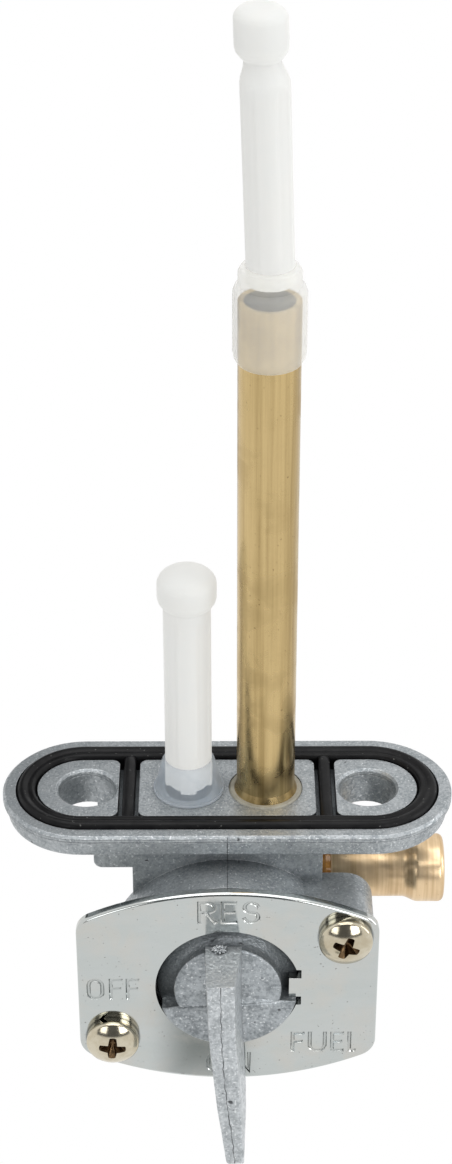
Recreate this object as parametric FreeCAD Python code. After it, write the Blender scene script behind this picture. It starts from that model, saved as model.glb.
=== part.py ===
import FreeCAD, Part
import math
import os

# Gravity fuel tap: tank flange with seal, standpipe and two strainers, valve housing with
# a rotor and lever behind a stamped face plate, and a hose spigot at the side. Millimetres.
# The origin is the centre of the flange's top face, midway between the bolt holes.
# +Z points up into the tank, +X towards the outlet, and the lever faces -Y.

Vec = FreeCAD.Vector
X_DIR = Vec(1, 0, 0)
Y_DIR = Vec(0, 1, 0)
Z_DIR = Vec(0, 0, 1)

# Fits and gaps
press_gap = 0.02            # radial, between pressed pieces
running_gap = 0.06          # radial, rotor rim in the chamber
face_gap = 0.03             # between the rotor and the faces it turns on
loose_gap = 0.25            # between pieces that only pass each other
cut_over = 1.0              # how far a cutting shape runs past the face it cuts

# Tank flange
bolt_spacing = 34.0
bolt_hole_radius = 3.5
bolt_hole_chamfer = 0.3
bolt_boss_radius = 5.9
bolt_boss_drop = 1.5        # below the flange's underside
flange_radius = 9.8         # of the round ends, and half the width
flange_end_shift = 0.4      # centre of a round end, outward of the bolt hole
flange_thickness = 3.3
flange_lip_height = 0.9     # upper band of the rim
flange_lip_step = 0.25      # how far that band stands out
flange_top_chamfer = 0.3
flange_draft = 0.4          # the rim narrows by this towards its underside
flange_edge_round = 0.6

# Seal groove, lands and seal
groove_radius = 8.25        # outer edge, about the round end's centre
groove_depth = 1.7
land_half_width = 5.6
land_corner = 1.0
bar_groove_centre = 11.9    # cross groove, from the centre
bar_groove_width = 2.5
seal_side_gap = 0.12
seal_proud = 0.6
seal_ring_width = 2.3
seal_bar_width = 1.5
seal_bead_round = 0.55
seal_bar_step = 0.05        # the bars end this far below the ring

# Pipes into the tank
pipe_offset = 4.65          # each pipe's axis, from the centre
standpipe_radius = 3.5
standpipe_wall = 0.65
standpipe_top = 65.2
standpipe_socket_depth = 7.0
standpipe_foot_radius = 3.8
standpipe_foot_height = 0.9
ferrule_radius = 4.45
ferrule_depth = 1.4
ferrule_proud = 0.12
ferrule_chamfer = 0.25
supply_bore_radius = 2.1
drill_run_on = 0.6          # a supply drilling ends this far below the port it meets
reserve_socket_depth = 5.0

# Valve housing
rotor_drop = 19.65          # rotor axis, below the flange's top face
housing_front = 12.9        # front face, ahead of the flange's centre plane
housing_depth = 6.7
chamber_radius = 11.3
housing_wall = 3.3
housing_edge_round = 0.9
chamber_depth = 5.2
chamber_mouth_chamfer = 0.25
port_radius = 1.6
port_angle = 45.0           # main port, up from +X; the reserve port mirrors it
ear_width = 2.4
ear_reach = 0.9

# Neck and bosses behind the housing
neck_half_width = 11.4
neck_front = 7.6
neck_back = 5.6
neck_drop = 18.6
neck_corner = 3.2
back_wall_radius = 11.6
back_wall_plane = 2.6       # back of the wall behind the chamber, ahead of the centre plane
back_wall_round = 1.8
underside_pad_length = 16.0
underside_pad_drop = 2.9
underside_pad_corner = 1.0
outlet_back = 4.2           # outlet axis, behind the centre plane
outlet_drop = 15.85
outlet_boss_radius = 5.0
outlet_boss_left = 4.4
outlet_face = 11.67         # machined face at the outlet's end
boss_round = 1.2
gallery_boss_radius = 3.5
gallery_radius = 1.6
gallery_boss_below_port = 4.2
gallery_plug_recess = 0.35

# Outlet spigot
spigot_radius = 3.6
spigot_bore_radius = 2.4
spigot_stub_radius = 2.9
spigot_stub_length = 4.6
spigot_neck_gap = 1.25      # between the boss face and the spigot's shoulder
sealing_ring_radius = 3.35
sealing_ring_bulge = 0.12
spigot_tube_length = 9.5
spigot_rise_length = 1.35
spigot_bead_radius = 4.25
spigot_bead_length = 2.8
spigot_nose_length = 0.55
spigot_shoulder_chamfer = 0.2

# Face plate
plate_thickness = 1.1
plate_apex = 14.7           # highest point, from the plate's centre
plate_drop = 0.2            # plate's centre, below the rotor axis
plate_arc_radius = 38.5
plate_side_margin = 4.05    # from the screw to the straight side
plate_corner = 2.8
plate_edge_round = 0.45
opening_radius = 8.73
stop_tab_half_width = 1.45
stop_tab_reach = 0.9        # the tab ends this far outside the hub
tab_notch_width = 1.3
tab_notch_depth = 0.15
tab_notch_round = 0.12

# Cover screws
screw_offset_x = 14.05
screw_offset_z = 7.9
screw_lobe_radius = 3.5
screw_radius = 1.95
screw_length_in_body = 5.2
screw_hole_spare = 0.5
screw_clearance_radius = 2.2
screw_head_radius = 3.2
screw_head_rim = 0.45
screw_dome_height = 1.2
recess_width = 0.8
recess_reach = 1.7
recess_floor_reach = 0.45
recess_depth = 1.2
upper_screw_turn = 22.0
lower_screw_turn = 4.0
lock_washer_thickness = 0.7
lock_washer_split = 0.5
lock_washer_slant = 35.0    # degrees
upper_washer_turn = 115.0
lower_washer_turn = 250.0

# Valve gasket, rotor and lever
gasket_thickness = 1.4
gasket_rim_gap = 0.15
rotor_disc_thickness = 2.6
ring_groove_depth = 1.2
ring_groove_width = 1.5
land_below_plate = 0.12
hub_radius = 6.5
hub_proud = 0.6
segment_proud = 0.9
segment_rim_gap = 0.33
stop_overrun = 4.0          # the lever stands this far past straight down on its stop
stop_gap = 0.12             # left between the segment and the tab at rest
slot_half_width = 1.75
slot_depth = 1.2
slot_span = 208.0
slot_start = -104.0
casting_edge_round = 0.3
wave_washer_thickness = 0.3
wave_washer_rim_gap = 0.4
wave_count = 3
wave_points = 24

# Lever blade, measured from the rotor axis and the plate's face
blade_width = 3.9
blade_tip_width = 2.6
blade_widest_rise = -1.0    # below this height the blade tapers
blade_shift = -0.38         # the blade stands slightly beside the axis
blade_bevel = 0.75
blade_edge_round = 0.25
blade_root_top = 6.1
blade_step_rise = 2.5
blade_step = 0.35
blade_step_reach = 2.2
blade_shoulder_drop = 4.2
blade_shoulder_reach = 5.9
blade_crown = 0.35          # bulge of the narrow edge above the shoulder
blade_tip_reach = 7.9
blade_tip_drop = 22.2
blade_tip_radius = 2.3
blade_plate_gap = 2.0       # behind the free part of the blade
blade_root_bottom = 7.3
casting_overlap = 0.3       # depth by which the blade's root runs into the hub

# Strainers
strainer_wall = 0.75
strainer_rib_width = 1.5
gauze_thickness = 0.3
collar_radius = 4.08
collar_overlap = 7.2        # length of the collar on the standpipe
collar_above = 2.0          # collar above the standpipe's end
collar_chamfer = 0.55
collar_edge_round = 0.9
shoulder_radius = 3.5
shoulder_height = 2.3
main_column_radius = 2.65
main_column_height = 20.3
main_neck_radius = 1.95
main_neck_height = 2.3
main_head_radius = 2.85
main_head_height = 5.9
main_head_shift = 0.25      # the head sits this far beside its column
main_lean = 2.0             # degrees, the soft column leans towards the reserve side
reserve_flange_radius = 4.3
reserve_flange_thickness = 0.35
reserve_skirt_foot_radius = 4.1
reserve_skirt_radius = 3.45
reserve_skirt_height = 4.35
reserve_skirt_shoulder = 1.4
reserve_column_radius = 2.8
reserve_column_height = 21.6
reserve_head_radius = 3.5
reserve_head_height = 5.6
head_round = 1.9
head_underside_chamfer = 0.85
reserve_stub_radius = 2.95
reserve_stub_length = 4.6

# Places worked out from the sizes above
bolt_x = bolt_spacing / 2
flange_end_x = bolt_x + flange_end_shift
rotor_axis = Vec(0, 0, -rotor_drop)
front_y = -housing_front
housing_radius = chamber_radius + housing_wall
housing_back_y = front_y + housing_depth
floor_y = front_y + chamber_depth
plate_front_y = front_y - plate_thickness
port_circle = pipe_offset / math.cos(math.radians(port_angle))
supply_port_z = -rotor_drop + port_circle * math.sin(math.radians(port_angle))
outlet_port_z = -rotor_drop - port_circle
gallery_bottom_z = outlet_port_z - gallery_boss_below_port
spigot_shoulder_x = outlet_face + spigot_neck_gap
spigot_bead_x = spigot_shoulder_x + spigot_tube_length + spigot_rise_length
gasket_front_y = floor_y - gasket_thickness
disc_back_y = gasket_front_y - face_gap
disc_front_y = disc_back_y - rotor_disc_thickness
land_front_y = front_y + land_below_plate
hub_front_y = plate_front_y - hub_proud
segment_front_y = plate_front_y - segment_proud
disc_radius = chamber_radius - running_gap
rotor_land_radius = opening_radius - loose_gap
segment_radius = opening_radius - segment_rim_gap
stop_tab_radius = hub_radius + stop_tab_reach
collar_top_z = standpipe_top + collar_above


def tube_y(radius, y0, y1, x=0.0, z=-rotor_drop):
    """Cylinder along Y between two planes."""
    return Part.makeCylinder(radius, abs(y1 - y0), Vec(x, min(y0, y1), z), Y_DIR)


def tube_z(radius, z0, z1, x=0.0, y=0.0):
    """Cylinder along Z between two heights."""
    return Part.makeCylinder(radius, abs(z1 - z0), Vec(x, y, min(z0, z1)), Z_DIR)


def tube_x(radius, x0, x1, y=0.0, z=0.0):
    """Cylinder along X between two planes."""
    return Part.makeCylinder(radius, abs(x1 - x0), Vec(min(x0, x1), y, z), X_DIR)


def block(x0, x1, y0, y1, z0, z1):
    """Box between two corners."""
    return Part.makeBox(x1 - x0, y1 - y0, z1 - z0, Vec(x0, y0, z0))


def stadium_wire(end_x, radius, z):
    """Oblong with round ends in the plane at height z."""
    right = Part.Arc(Vec(end_x, -radius, z), Vec(end_x + radius, 0, z), Vec(end_x, radius, z))
    left = Part.Arc(Vec(-end_x, radius, z), Vec(-end_x - radius, 0, z), Vec(-end_x, -radius, z))
    back = Part.LineSegment(Vec(end_x, radius, z), Vec(-end_x, radius, z))
    front = Part.LineSegment(Vec(-end_x, -radius, z), Vec(end_x, -radius, z))
    return Part.Wire([piece.toShape() for piece in (right, back, left, front)])


def stadium(end_x, radius, z0, z1):
    """Oblong slab with round ends."""
    return Part.Face(stadium_wire(end_x, radius, z0)).extrude(Vec(0, 0, z1 - z0))


def turned(points, centre, axis):
    """Solid of revolution about axis; points are (radius, distance along the axis)."""
    side = Vec(0, 1, 0) if axis.x else Vec(1, 0, 0)
    corners = [centre + side * r + axis * d for r, d in points]
    profile = Part.Face(Part.makePolygon(corners + corners[:1]))
    return profile.revolve(centre, axis, 360)


def slab_on_plate(wire_points, y0, y1):
    """Straight-sided slab along Y over a closed outline of (x, z) points."""
    corners = [Vec(x, y0, z) for x, z in wire_points]
    return Part.Face(Part.makePolygon(corners + corners[:1])).extrude(Vec(0, y1 - y0, 0))


def edges_at(shape, test):
    """Edges whose end points and centre all pass the test."""
    found = []
    for edge in shape.Edges:
        spots = [vertex.Point for vertex in edge.Vertexes] + [edge.CenterOfMass]
        if all(test(spot) for spot in spots):
            found.append(edge)
    return found


def at(value, target):
    return abs(value - target) < 1e-4


def about_rotor(shape, degrees):
    """Copy turned about the rotor axis; a positive turn takes the lever from down to +X."""
    turned_copy = shape.copy()
    turned_copy.rotate(rotor_axis, Y_DIR, -degrees)
    return turned_copy


def flange_plate():
    """Tank flange: upper band, drafted rim, bolt bosses and the pad below the reserve side."""
    rim_radius = flange_radius - flange_lip_step
    band = stadium(flange_end_x, flange_radius, -flange_lip_height, 0)
    band = band.makeChamfer(flange_top_chamfer, edges_at(band, lambda p: at(p.z, 0)))
    rim = Part.makeLoft([
        stadium_wire(flange_end_x, rim_radius - flange_draft, -flange_thickness),
        stadium_wire(flange_end_x, rim_radius, -flange_lip_height)], True, True)
    rim = rim.makeFillet(flange_edge_round, edges_at(rim, lambda p: at(p.z, -flange_thickness)))
    shape = band.fuse(rim)
    boss_bottom = -flange_thickness - bolt_boss_drop
    for side in (-1, 1):
        shape = shape.fuse(tube_z(bolt_boss_radius, boss_bottom, -flange_lip_height, side * bolt_x))
    pad_bottom = -flange_thickness - underside_pad_drop
    pad = block(-underside_pad_length, 0, -neck_front, neck_front, pad_bottom, -flange_lip_height)
    pad = pad.makeFillet(underside_pad_corner, edges_at(pad, lambda p: at(p.x, -underside_pad_length)
                                                        and p.z < -flange_lip_height - 0.01))
    return shape.fuse(pad)


def seal_lands():
    """The three metal islands inside the seal groove, from its floor to the face."""
    groove_edge = bar_groove_centre + bar_groove_width / 2
    inner_edge = bar_groove_centre - bar_groove_width / 2
    ends = stadium(flange_end_x, land_half_width, -groove_depth, 0)
    lands = []
    for side in (-1, 1):
        far = side * (flange_end_x + groove_radius)
        near = side * groove_edge
        keep = block(min(far, near), max(far, near), -land_half_width, land_half_width, -groove_depth, 0)
        land = ends.common(keep)
        lands.append(land.makeFillet(land_corner, edges_at(land, lambda p: at(p.x, near)
                                                           and at(abs(p.y), land_half_width))))
    middle = block(-inner_edge, inner_edge, -land_half_width, land_half_width, -groove_depth, 0)
    upright = edges_at(middle, lambda p: at(abs(p.x), inner_edge) and at(abs(p.y), land_half_width))
    lands.append(middle.makeFillet(land_corner, upright))
    return lands


def seal_groove():
    """Space cut for the seal."""
    groove = stadium(flange_end_x, groove_radius, -groove_depth, cut_over)
    for land in seal_lands():
        raised = land.fuse(land.translated(Vec(0, 0, cut_over)))
        groove = groove.cut(raised)
    return groove


def screw_lobe():
    """Corner of the housing that carries the upper right screw, beside the round housing."""
    reach = math.hypot(screw_offset_x, screw_offset_z)
    heading = math.degrees(math.atan2(screw_offset_z, screw_offset_x))
    spread = math.degrees(math.asin((housing_radius - screw_lobe_radius) / reach))
    lean = math.radians(heading - (90 - spread))
    tangent = Vec(math.cos(lean), 0, math.sin(lean))
    low = rotor_axis + tangent * housing_radius
    high = Vec(screw_offset_x, 0, -rotor_drop + screw_offset_z) + tangent * screw_lobe_radius
    top_z = -rotor_drop + screw_offset_z + screw_lobe_radius
    outline = [(0, -rotor_drop), (low.x, low.z), (high.x, high.z),
               (screw_offset_x, -rotor_drop + screw_offset_z), (screw_offset_x, top_z), (0, top_z)]
    web = slab_on_plate(outline, front_y, housing_back_y)
    boss = tube_y(screw_lobe_radius, front_y, housing_back_y,
                  screw_offset_x, -rotor_drop + screw_offset_z)
    return web.fuse(boss)


def valve_housing():
    """Round housing with the two screw lobes."""
    drum = tube_y(housing_radius, front_y, housing_back_y)
    drum = drum.makeFillet(housing_edge_round, edges_at(drum, lambda p: at(p.y, housing_back_y)))
    lobe = screw_lobe()
    return drum.fuse([lobe, about_rotor(lobe, 180)])


def neck_and_bosses():
    """Neck under the flange, wall behind the chamber, outlet boss and gallery boss."""
    top = -flange_lip_height
    neck = block(-neck_half_width, neck_half_width, -neck_front, neck_back, -neck_drop, top)
    corners = edges_at(neck, lambda p: at(p.y, neck_back) and (at(p.z, -neck_drop)
                                                               or at(abs(p.x), neck_half_width)))
    neck = neck.makeFillet(neck_corner, corners)
    wall = tube_y(back_wall_radius, housing_back_y - housing_edge_round, -back_wall_plane)
    wall = wall.makeFillet(back_wall_round, edges_at(wall, lambda p: at(p.y, -back_wall_plane)))
    outlet = tube_x(outlet_boss_radius, -outlet_boss_left, outlet_face, outlet_back, -outlet_drop)
    outlet = outlet.makeFillet(boss_round, edges_at(outlet, lambda p: at(p.x, -outlet_boss_left)))
    gallery = tube_z(gallery_boss_radius, gallery_bottom_z, -outlet_drop, 0, outlet_back)
    port = tube_y(gallery_boss_radius, housing_back_y - housing_edge_round,
                  outlet_back + gallery_boss_radius, 0, outlet_port_z)
    port = port.makeFillet(boss_round, edges_at(port, lambda p: at(p.y, outlet_back + gallery_boss_radius)))
    web = block(-gallery_boss_radius, gallery_boss_radius, housing_back_y, outlet_back,
                outlet_port_z, -outlet_drop)
    return neck.fuse([wall, outlet, gallery, port, web])


def body_passages():
    """Everything drilled or bored out of the casting."""
    cuts = [seal_groove()]
    for side in (-1, 1):
        hole = tube_z(bolt_hole_radius, -flange_thickness - bolt_boss_drop - cut_over, cut_over,
                      side * bolt_x)
        mouth = Part.makeCone(bolt_hole_radius, bolt_hole_radius + bolt_hole_chamfer,
                              bolt_hole_chamfer, Vec(side * bolt_x, 0, -bolt_hole_chamfer), Z_DIR)
        cuts += [hole, mouth]
    # Pipe sockets and the two supply drillings down to the chamber's ports
    cuts.append(tube_z(ferrule_radius + press_gap, -ferrule_depth, cut_over, pipe_offset))
    cuts.append(tube_z(standpipe_radius + press_gap, -standpipe_socket_depth, cut_over, pipe_offset))
    cuts.append(tube_z(reserve_stub_radius + press_gap, -reserve_socket_depth, cut_over, -pipe_offset))
    for side in (-1, 1):
        drill_end = supply_port_z - port_radius - drill_run_on
        cuts.append(tube_z(supply_bore_radius, drill_end, cut_over, side * pipe_offset))
        cuts.append(tube_y(port_radius, floor_y - cut_over, 0, side * pipe_offset, supply_port_z))
    # Outlet: port, upright gallery and cross bore to the spigot's socket
    cuts.append(tube_y(gallery_radius, floor_y - cut_over, outlet_back, 0, outlet_port_z))
    cuts.append(tube_z(gallery_radius, gallery_bottom_z - cut_over, -outlet_drop, 0, outlet_back))
    cuts.append(tube_x(gallery_radius, 0, outlet_face, outlet_back, -outlet_drop))
    cuts.append(tube_x(spigot_stub_radius + press_gap, outlet_face - spigot_stub_length - press_gap,
                       outlet_face + cut_over, outlet_back, -outlet_drop))
    # Valve chamber with its mouth chamfer and the notches for the gasket's ears
    cuts.append(tube_y(chamber_radius, front_y - cut_over, floor_y))
    cuts.append(Part.makeCone(chamber_radius + chamber_mouth_chamfer, chamber_radius,
                              chamber_mouth_chamfer, Vec(0, front_y, -rotor_drop), Y_DIR))
    ear_half = ear_width / 2 + loose_gap / 2
    ear_end = chamber_radius + ear_reach
    cuts.append(block(-ear_end, ear_end, gasket_front_y - loose_gap, floor_y,
                      -rotor_drop - ear_half, -rotor_drop + ear_half))
    for x, z in screw_places():
        cuts.append(tube_y(screw_radius + press_gap, front_y - cut_over,
                           front_y + screw_length_in_body + screw_hole_spare, x, z))
    return cuts


def screw_places():
    """Upper right and lower left screw, as (x, z)."""
    return [(screw_offset_x, -rotor_drop + screw_offset_z),
            (-screw_offset_x, -rotor_drop - screw_offset_z)]


def tap_body():
    shape = flange_plate().fuse([valve_housing(), neck_and_bosses()])
    shape = shape.cut(body_passages())
    return shape.removeSplitter()


def flange_seal():
    """Rubber ring with two cross bars; its bead stands above the face."""
    outer_radius = groove_radius - seal_side_gap
    inner_radius = outer_radius - seal_ring_width
    bottom = -groove_depth
    ring = stadium(flange_end_x, outer_radius, bottom, seal_proud)
    ring = ring.cut(stadium(flange_end_x, inner_radius, bottom - cut_over, seal_proud + cut_over))
    ring = ring.makeFillet(seal_bead_round, edges_at(ring, lambda p: at(p.z, seal_proud)))
    bar_end = outer_radius - seal_bead_round
    bar_top = seal_proud - seal_bar_step
    for side in (-1, 1):
        centre = side * bar_groove_centre
        bar = block(centre - seal_bar_width / 2, centre + seal_bar_width / 2, -bar_end, bar_end,
                    bottom, bar_top)
        long_edges = edges_at(bar, lambda p: at(p.z, bar_top) and at(abs(p.x - centre), seal_bar_width / 2))
        ring = ring.fuse(bar.makeFillet(seal_bead_round, long_edges))
    return ring.removeSplitter()


def standpipe():
    """Brass supply tube with the upset foot that sits on the ferrule."""
    bottom = -standpipe_socket_depth
    inside = standpipe_radius - standpipe_wall
    foot_top = ferrule_proud + standpipe_foot_height
    profile = [(inside, bottom), (standpipe_radius, bottom), (standpipe_radius, ferrule_proud),
               (standpipe_foot_radius, ferrule_proud), (standpipe_radius, foot_top),
               (standpipe_radius, standpipe_top), (inside, standpipe_top)]
    return turned(profile, Vec(pipe_offset, 0, 0), Z_DIR)


def standpipe_ferrule():
    inner = standpipe_radius + press_gap
    profile = [(inner, -ferrule_depth), (ferrule_radius, -ferrule_depth),
               (ferrule_radius, ferrule_proud - ferrule_chamfer),
               (ferrule_radius - ferrule_chamfer, ferrule_proud), (inner, ferrule_proud)]
    return turned(profile, Vec(pipe_offset, 0, 0), Z_DIR)


def knob(radius, height, base_z):
    """Rounded head of a strainer, chamfered underneath."""
    head = tube_z(radius, base_z, base_z + height)
    head = head.makeFillet(head_round, edges_at(head, lambda p: at(p.z, base_z + height)))
    return head.makeChamfer(head_underside_chamfer, edges_at(head, lambda p: at(p.z, base_z)))


def ribbed_column(radius, z0, z1):
    """Four upright ribs round a gauze sleeve."""
    ribs = tube_z(radius, z0, z1).common(
        block(-radius, radius, -strainer_rib_width / 2, strainer_rib_width / 2, z0, z1).fuse(
            block(-strainer_rib_width / 2, strainer_rib_width / 2, -radius, radius, z0, z1)))
    return ribs.cut(tube_z(radius - strainer_wall, z0, z1))


def gauze_sleeve(radius, z0, z1):
    """Gauze tube just inside the ribs."""
    outer = radius - strainer_wall - press_gap
    return tube_z(outer, z0, z1).cut(tube_z(outer - gauze_thickness, z0, z1))


def leaning(shape, x, base_z):
    """Copy tilted towards -X about the foot of the main strainer's column."""
    tilted = shape.translated(Vec(x, 0, 0))
    tilted.rotate(Vec(x, 0, base_z), Y_DIR, -main_lean)
    return tilted


def main_strainer():
    """Frame with collar, shoulder, ribs, neck and knob, and its gauze."""
    bottom = standpipe_top - collar_overlap
    bore = standpipe_radius + press_gap
    column_base = collar_top_z + shoulder_height
    inside = main_column_radius - strainer_wall
    collar = turned([(bore, bottom), (collar_radius - collar_chamfer, bottom),
                     (collar_radius, bottom + 2 * collar_chamfer),
                     (collar_radius, collar_top_z - collar_edge_round),
                     (shoulder_radius, collar_top_z),
                     (shoulder_radius, column_base - collar_edge_round),
                     (main_column_radius, column_base), (inside, column_base),
                     (inside, standpipe_top + press_gap), (bore, standpipe_top + press_gap)],
                    Vec(pipe_offset, 0, 0), Z_DIR)
    column_top = column_base + main_column_height
    ribs = ribbed_column(main_column_radius, column_base - strainer_wall, column_top)
    neck = Part.makeCone(main_column_radius, main_neck_radius, main_neck_height,
                         Vec(0, 0, column_top), Z_DIR)
    head = knob(main_head_radius, main_head_height, column_top + main_neck_height)
    head.translate(Vec(-main_head_shift, 0, 0))
    frame = leaning(ribs.fuse([neck, head]), pipe_offset, column_base)
    bridge = collar.common(block(0, 2 * pipe_offset, -collar_radius, collar_radius, bottom, column_base))
    frame = bridge.fuse(frame)
    gauze = leaning(gauze_sleeve(main_column_radius, column_base + press_gap, column_top - press_gap),
                    pipe_offset, column_base)
    return frame.cut(gauze_keepout()), gauze


def gauze_keepout():
    """Bore kept open in the main strainer where the leaning column meets the straight collar."""
    column_base = collar_top_z + shoulder_height
    inside = main_column_radius - strainer_wall
    return leaning(tube_z(inside, column_base - shoulder_height, column_base + main_column_height),
                   pipe_offset, column_base)


def reserve_strainer():
    """Frame with stub, seat flange, skirt, ribs and knob, and its gauze."""
    inside = reserve_column_radius - strainer_wall
    skirt_top = reserve_flange_thickness + reserve_skirt_height
    base = turned([(inside, -reserve_stub_length), (reserve_stub_radius, -reserve_stub_length),
                   (reserve_stub_radius, press_gap), (reserve_flange_radius, press_gap),
                   (reserve_flange_radius, reserve_flange_thickness),
                   (reserve_skirt_foot_radius, reserve_flange_thickness),
                   (reserve_skirt_radius, skirt_top - reserve_skirt_shoulder),
                   (reserve_column_radius, skirt_top), (inside, skirt_top)],
                  Vec(0, 0, 0), Z_DIR)
    column_top = skirt_top + reserve_column_height
    ribs = ribbed_column(reserve_column_radius, skirt_top - strainer_wall, column_top)
    head = knob(reserve_head_radius, reserve_head_height, column_top)
    frame = base.fuse([ribs, head]).translated(Vec(-pipe_offset, 0, 0))
    gauze = gauze_sleeve(reserve_column_radius, skirt_top + press_gap, column_top - press_gap)
    return frame.removeSplitter(), gauze.translated(Vec(-pipe_offset, 0, 0))


def outlet_spigot():
    """Turned hose spigot: stub, shoulder, barrel, bead with a rising cone and a rounded nose."""
    stub_x = outlet_face - spigot_stub_length
    rise_x = spigot_shoulder_x + spigot_tube_length
    bead_end = spigot_bead_x + spigot_bead_length
    nose_x = bead_end + spigot_nose_length
    profile = [(spigot_bore_radius, stub_x), (spigot_stub_radius, stub_x),
               (spigot_stub_radius, spigot_shoulder_x),
               (spigot_radius - spigot_shoulder_chamfer, spigot_shoulder_x),
               (spigot_radius, spigot_shoulder_x + spigot_shoulder_chamfer),
               (spigot_radius, rise_x), (spigot_bead_radius, spigot_bead_x),
               (spigot_bead_radius, bead_end), (spigot_bead_radius - spigot_nose_length, nose_x),
               (spigot_bore_radius, nose_x)]
    return turned(profile, Vec(0, outlet_back, -outlet_drop), X_DIR)


def spigot_sealing_ring():
    """Ring of set sealant between the boss face and the spigot's shoulder."""
    middle = (outlet_face + spigot_shoulder_x) / 2
    inner = spigot_stub_radius + press_gap
    profile = [(inner, outlet_face), (sealing_ring_radius, outlet_face),
               (sealing_ring_radius + sealing_ring_bulge, middle), (sealing_ring_radius, spigot_shoulder_x),
               (inner, spigot_shoulder_x)]
    return turned(profile, Vec(0, outlet_back, -outlet_drop), X_DIR)


def gallery_plug():
    """Ball pressed into the mouth of the upright gallery."""
    radius = gallery_radius - press_gap
    return Part.makeSphere(radius, Vec(0, outlet_back, gallery_bottom_z + gallery_plug_recess + radius))


def valve_gasket():
    """Rubber disc with the three ports and two ears."""
    disc = tube_y(chamber_radius - gasket_rim_gap, gasket_front_y, floor_y)
    ear_end = chamber_radius + ear_reach - gasket_rim_gap
    ears = block(-ear_end, ear_end, gasket_front_y, floor_y,
                 -rotor_drop - ear_width / 2, -rotor_drop + ear_width / 2)
    disc = disc.fuse(ears)
    for side in (-1, 1):
        disc = disc.cut(tube_y(port_radius, gasket_front_y - cut_over, floor_y + cut_over,
                               side * pipe_offset, supply_port_z))
    disc = disc.cut(tube_y(gallery_radius, gasket_front_y - cut_over, floor_y + cut_over, 0, outlet_port_z))
    return disc.removeSplitter()


def wedge_y(start, end, radius, y0, y1):
    """Pie slice about the rotor axis between two angles counted from +X towards +Z."""
    base = Vec(0, min(y0, y1), -rotor_drop)
    slice_shape = Part.makeCylinder(radius, abs(y1 - y0), base, Y_DIR, end - start)
    # A cylinder along Y starts its sweep at +Z and turns towards +X
    slice_shape.rotate(rotor_axis, Y_DIR, 90 - end)
    return slice_shape


def blade_section(side, inset, set_back):
    """Side outline of the blade on one of its tapering flanks; set_back moves its narrow edge."""
    top_rise = blade_root_top
    tip_rise = blade_tip_radius - blade_tip_drop
    fall = (blade_width - blade_tip_width) / 2 / (blade_widest_rise - tip_rise)

    def spot(reach, rise):
        half = blade_width / 2 + (rise - blade_widest_rise) * fall - inset
        return Vec(blade_shift + side * half, plate_front_y - reach, -rotor_drop + rise)

    inside_hub = hub_proud - casting_overlap
    step_out = blade_step_reach + blade_step
    tip_middle = blade_tip_reach - blade_tip_radius
    crown_reach = (step_out + blade_shoulder_reach) / 2 + blade_crown
    crown_rise = (blade_step_rise - blade_shoulder_drop) / 2 + blade_crown
    root = spot(inside_hub, top_rise)
    ramp_top = spot(hub_proud + blade_step - set_back / 2, top_rise)
    ramp_end = spot(blade_step_reach - set_back, blade_step_rise)
    edge_top = spot(step_out - set_back, blade_step_rise - blade_step)
    crown = spot(crown_reach - set_back, crown_rise)
    shoulder = spot(blade_shoulder_reach - set_back, -blade_shoulder_drop)
    tip_front = spot(blade_tip_reach - set_back, tip_rise)
    tip_low = spot(tip_middle - set_back / 2, -blade_tip_drop)
    tip_back = spot(tip_middle - blade_tip_radius, tip_rise)
    heel = spot(blade_plate_gap, -blade_root_bottom - blade_plate_gap)
    root_low = spot(inside_hub, -blade_root_bottom)
    pieces = [Part.LineSegment(root, ramp_top), Part.LineSegment(ramp_top, ramp_end),
              Part.LineSegment(ramp_end, edge_top), Part.Arc(edge_top, crown, shoulder),
              Part.LineSegment(shoulder, tip_front), Part.Arc(tip_front, tip_low, tip_back),
              Part.LineSegment(tip_back, heel), Part.LineSegment(heel, root_low),
              Part.LineSegment(root_low, root)]
    return Part.Wire([piece.toShape() for piece in pieces])


def lever_blade():
    """Tapering blade with a narrow edge that is bevelled more on the right, as cast."""
    sections = [blade_section(-1, 0, blade_edge_round), blade_section(-1, blade_edge_round, 0),
                blade_section(1, blade_bevel, 0), blade_section(1, 0, blade_bevel)]
    blade = Part.makeLoft(sections, True, True)
    limit = blade_width / 2
    keep = block(blade_shift - limit, blade_shift + limit, plate_front_y - blade_tip_reach - cut_over,
                 plate_front_y, -rotor_drop - blade_tip_drop - cut_over,
                 -rotor_drop + blade_root_top + cut_over)
    return blade.common(keep)


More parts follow.
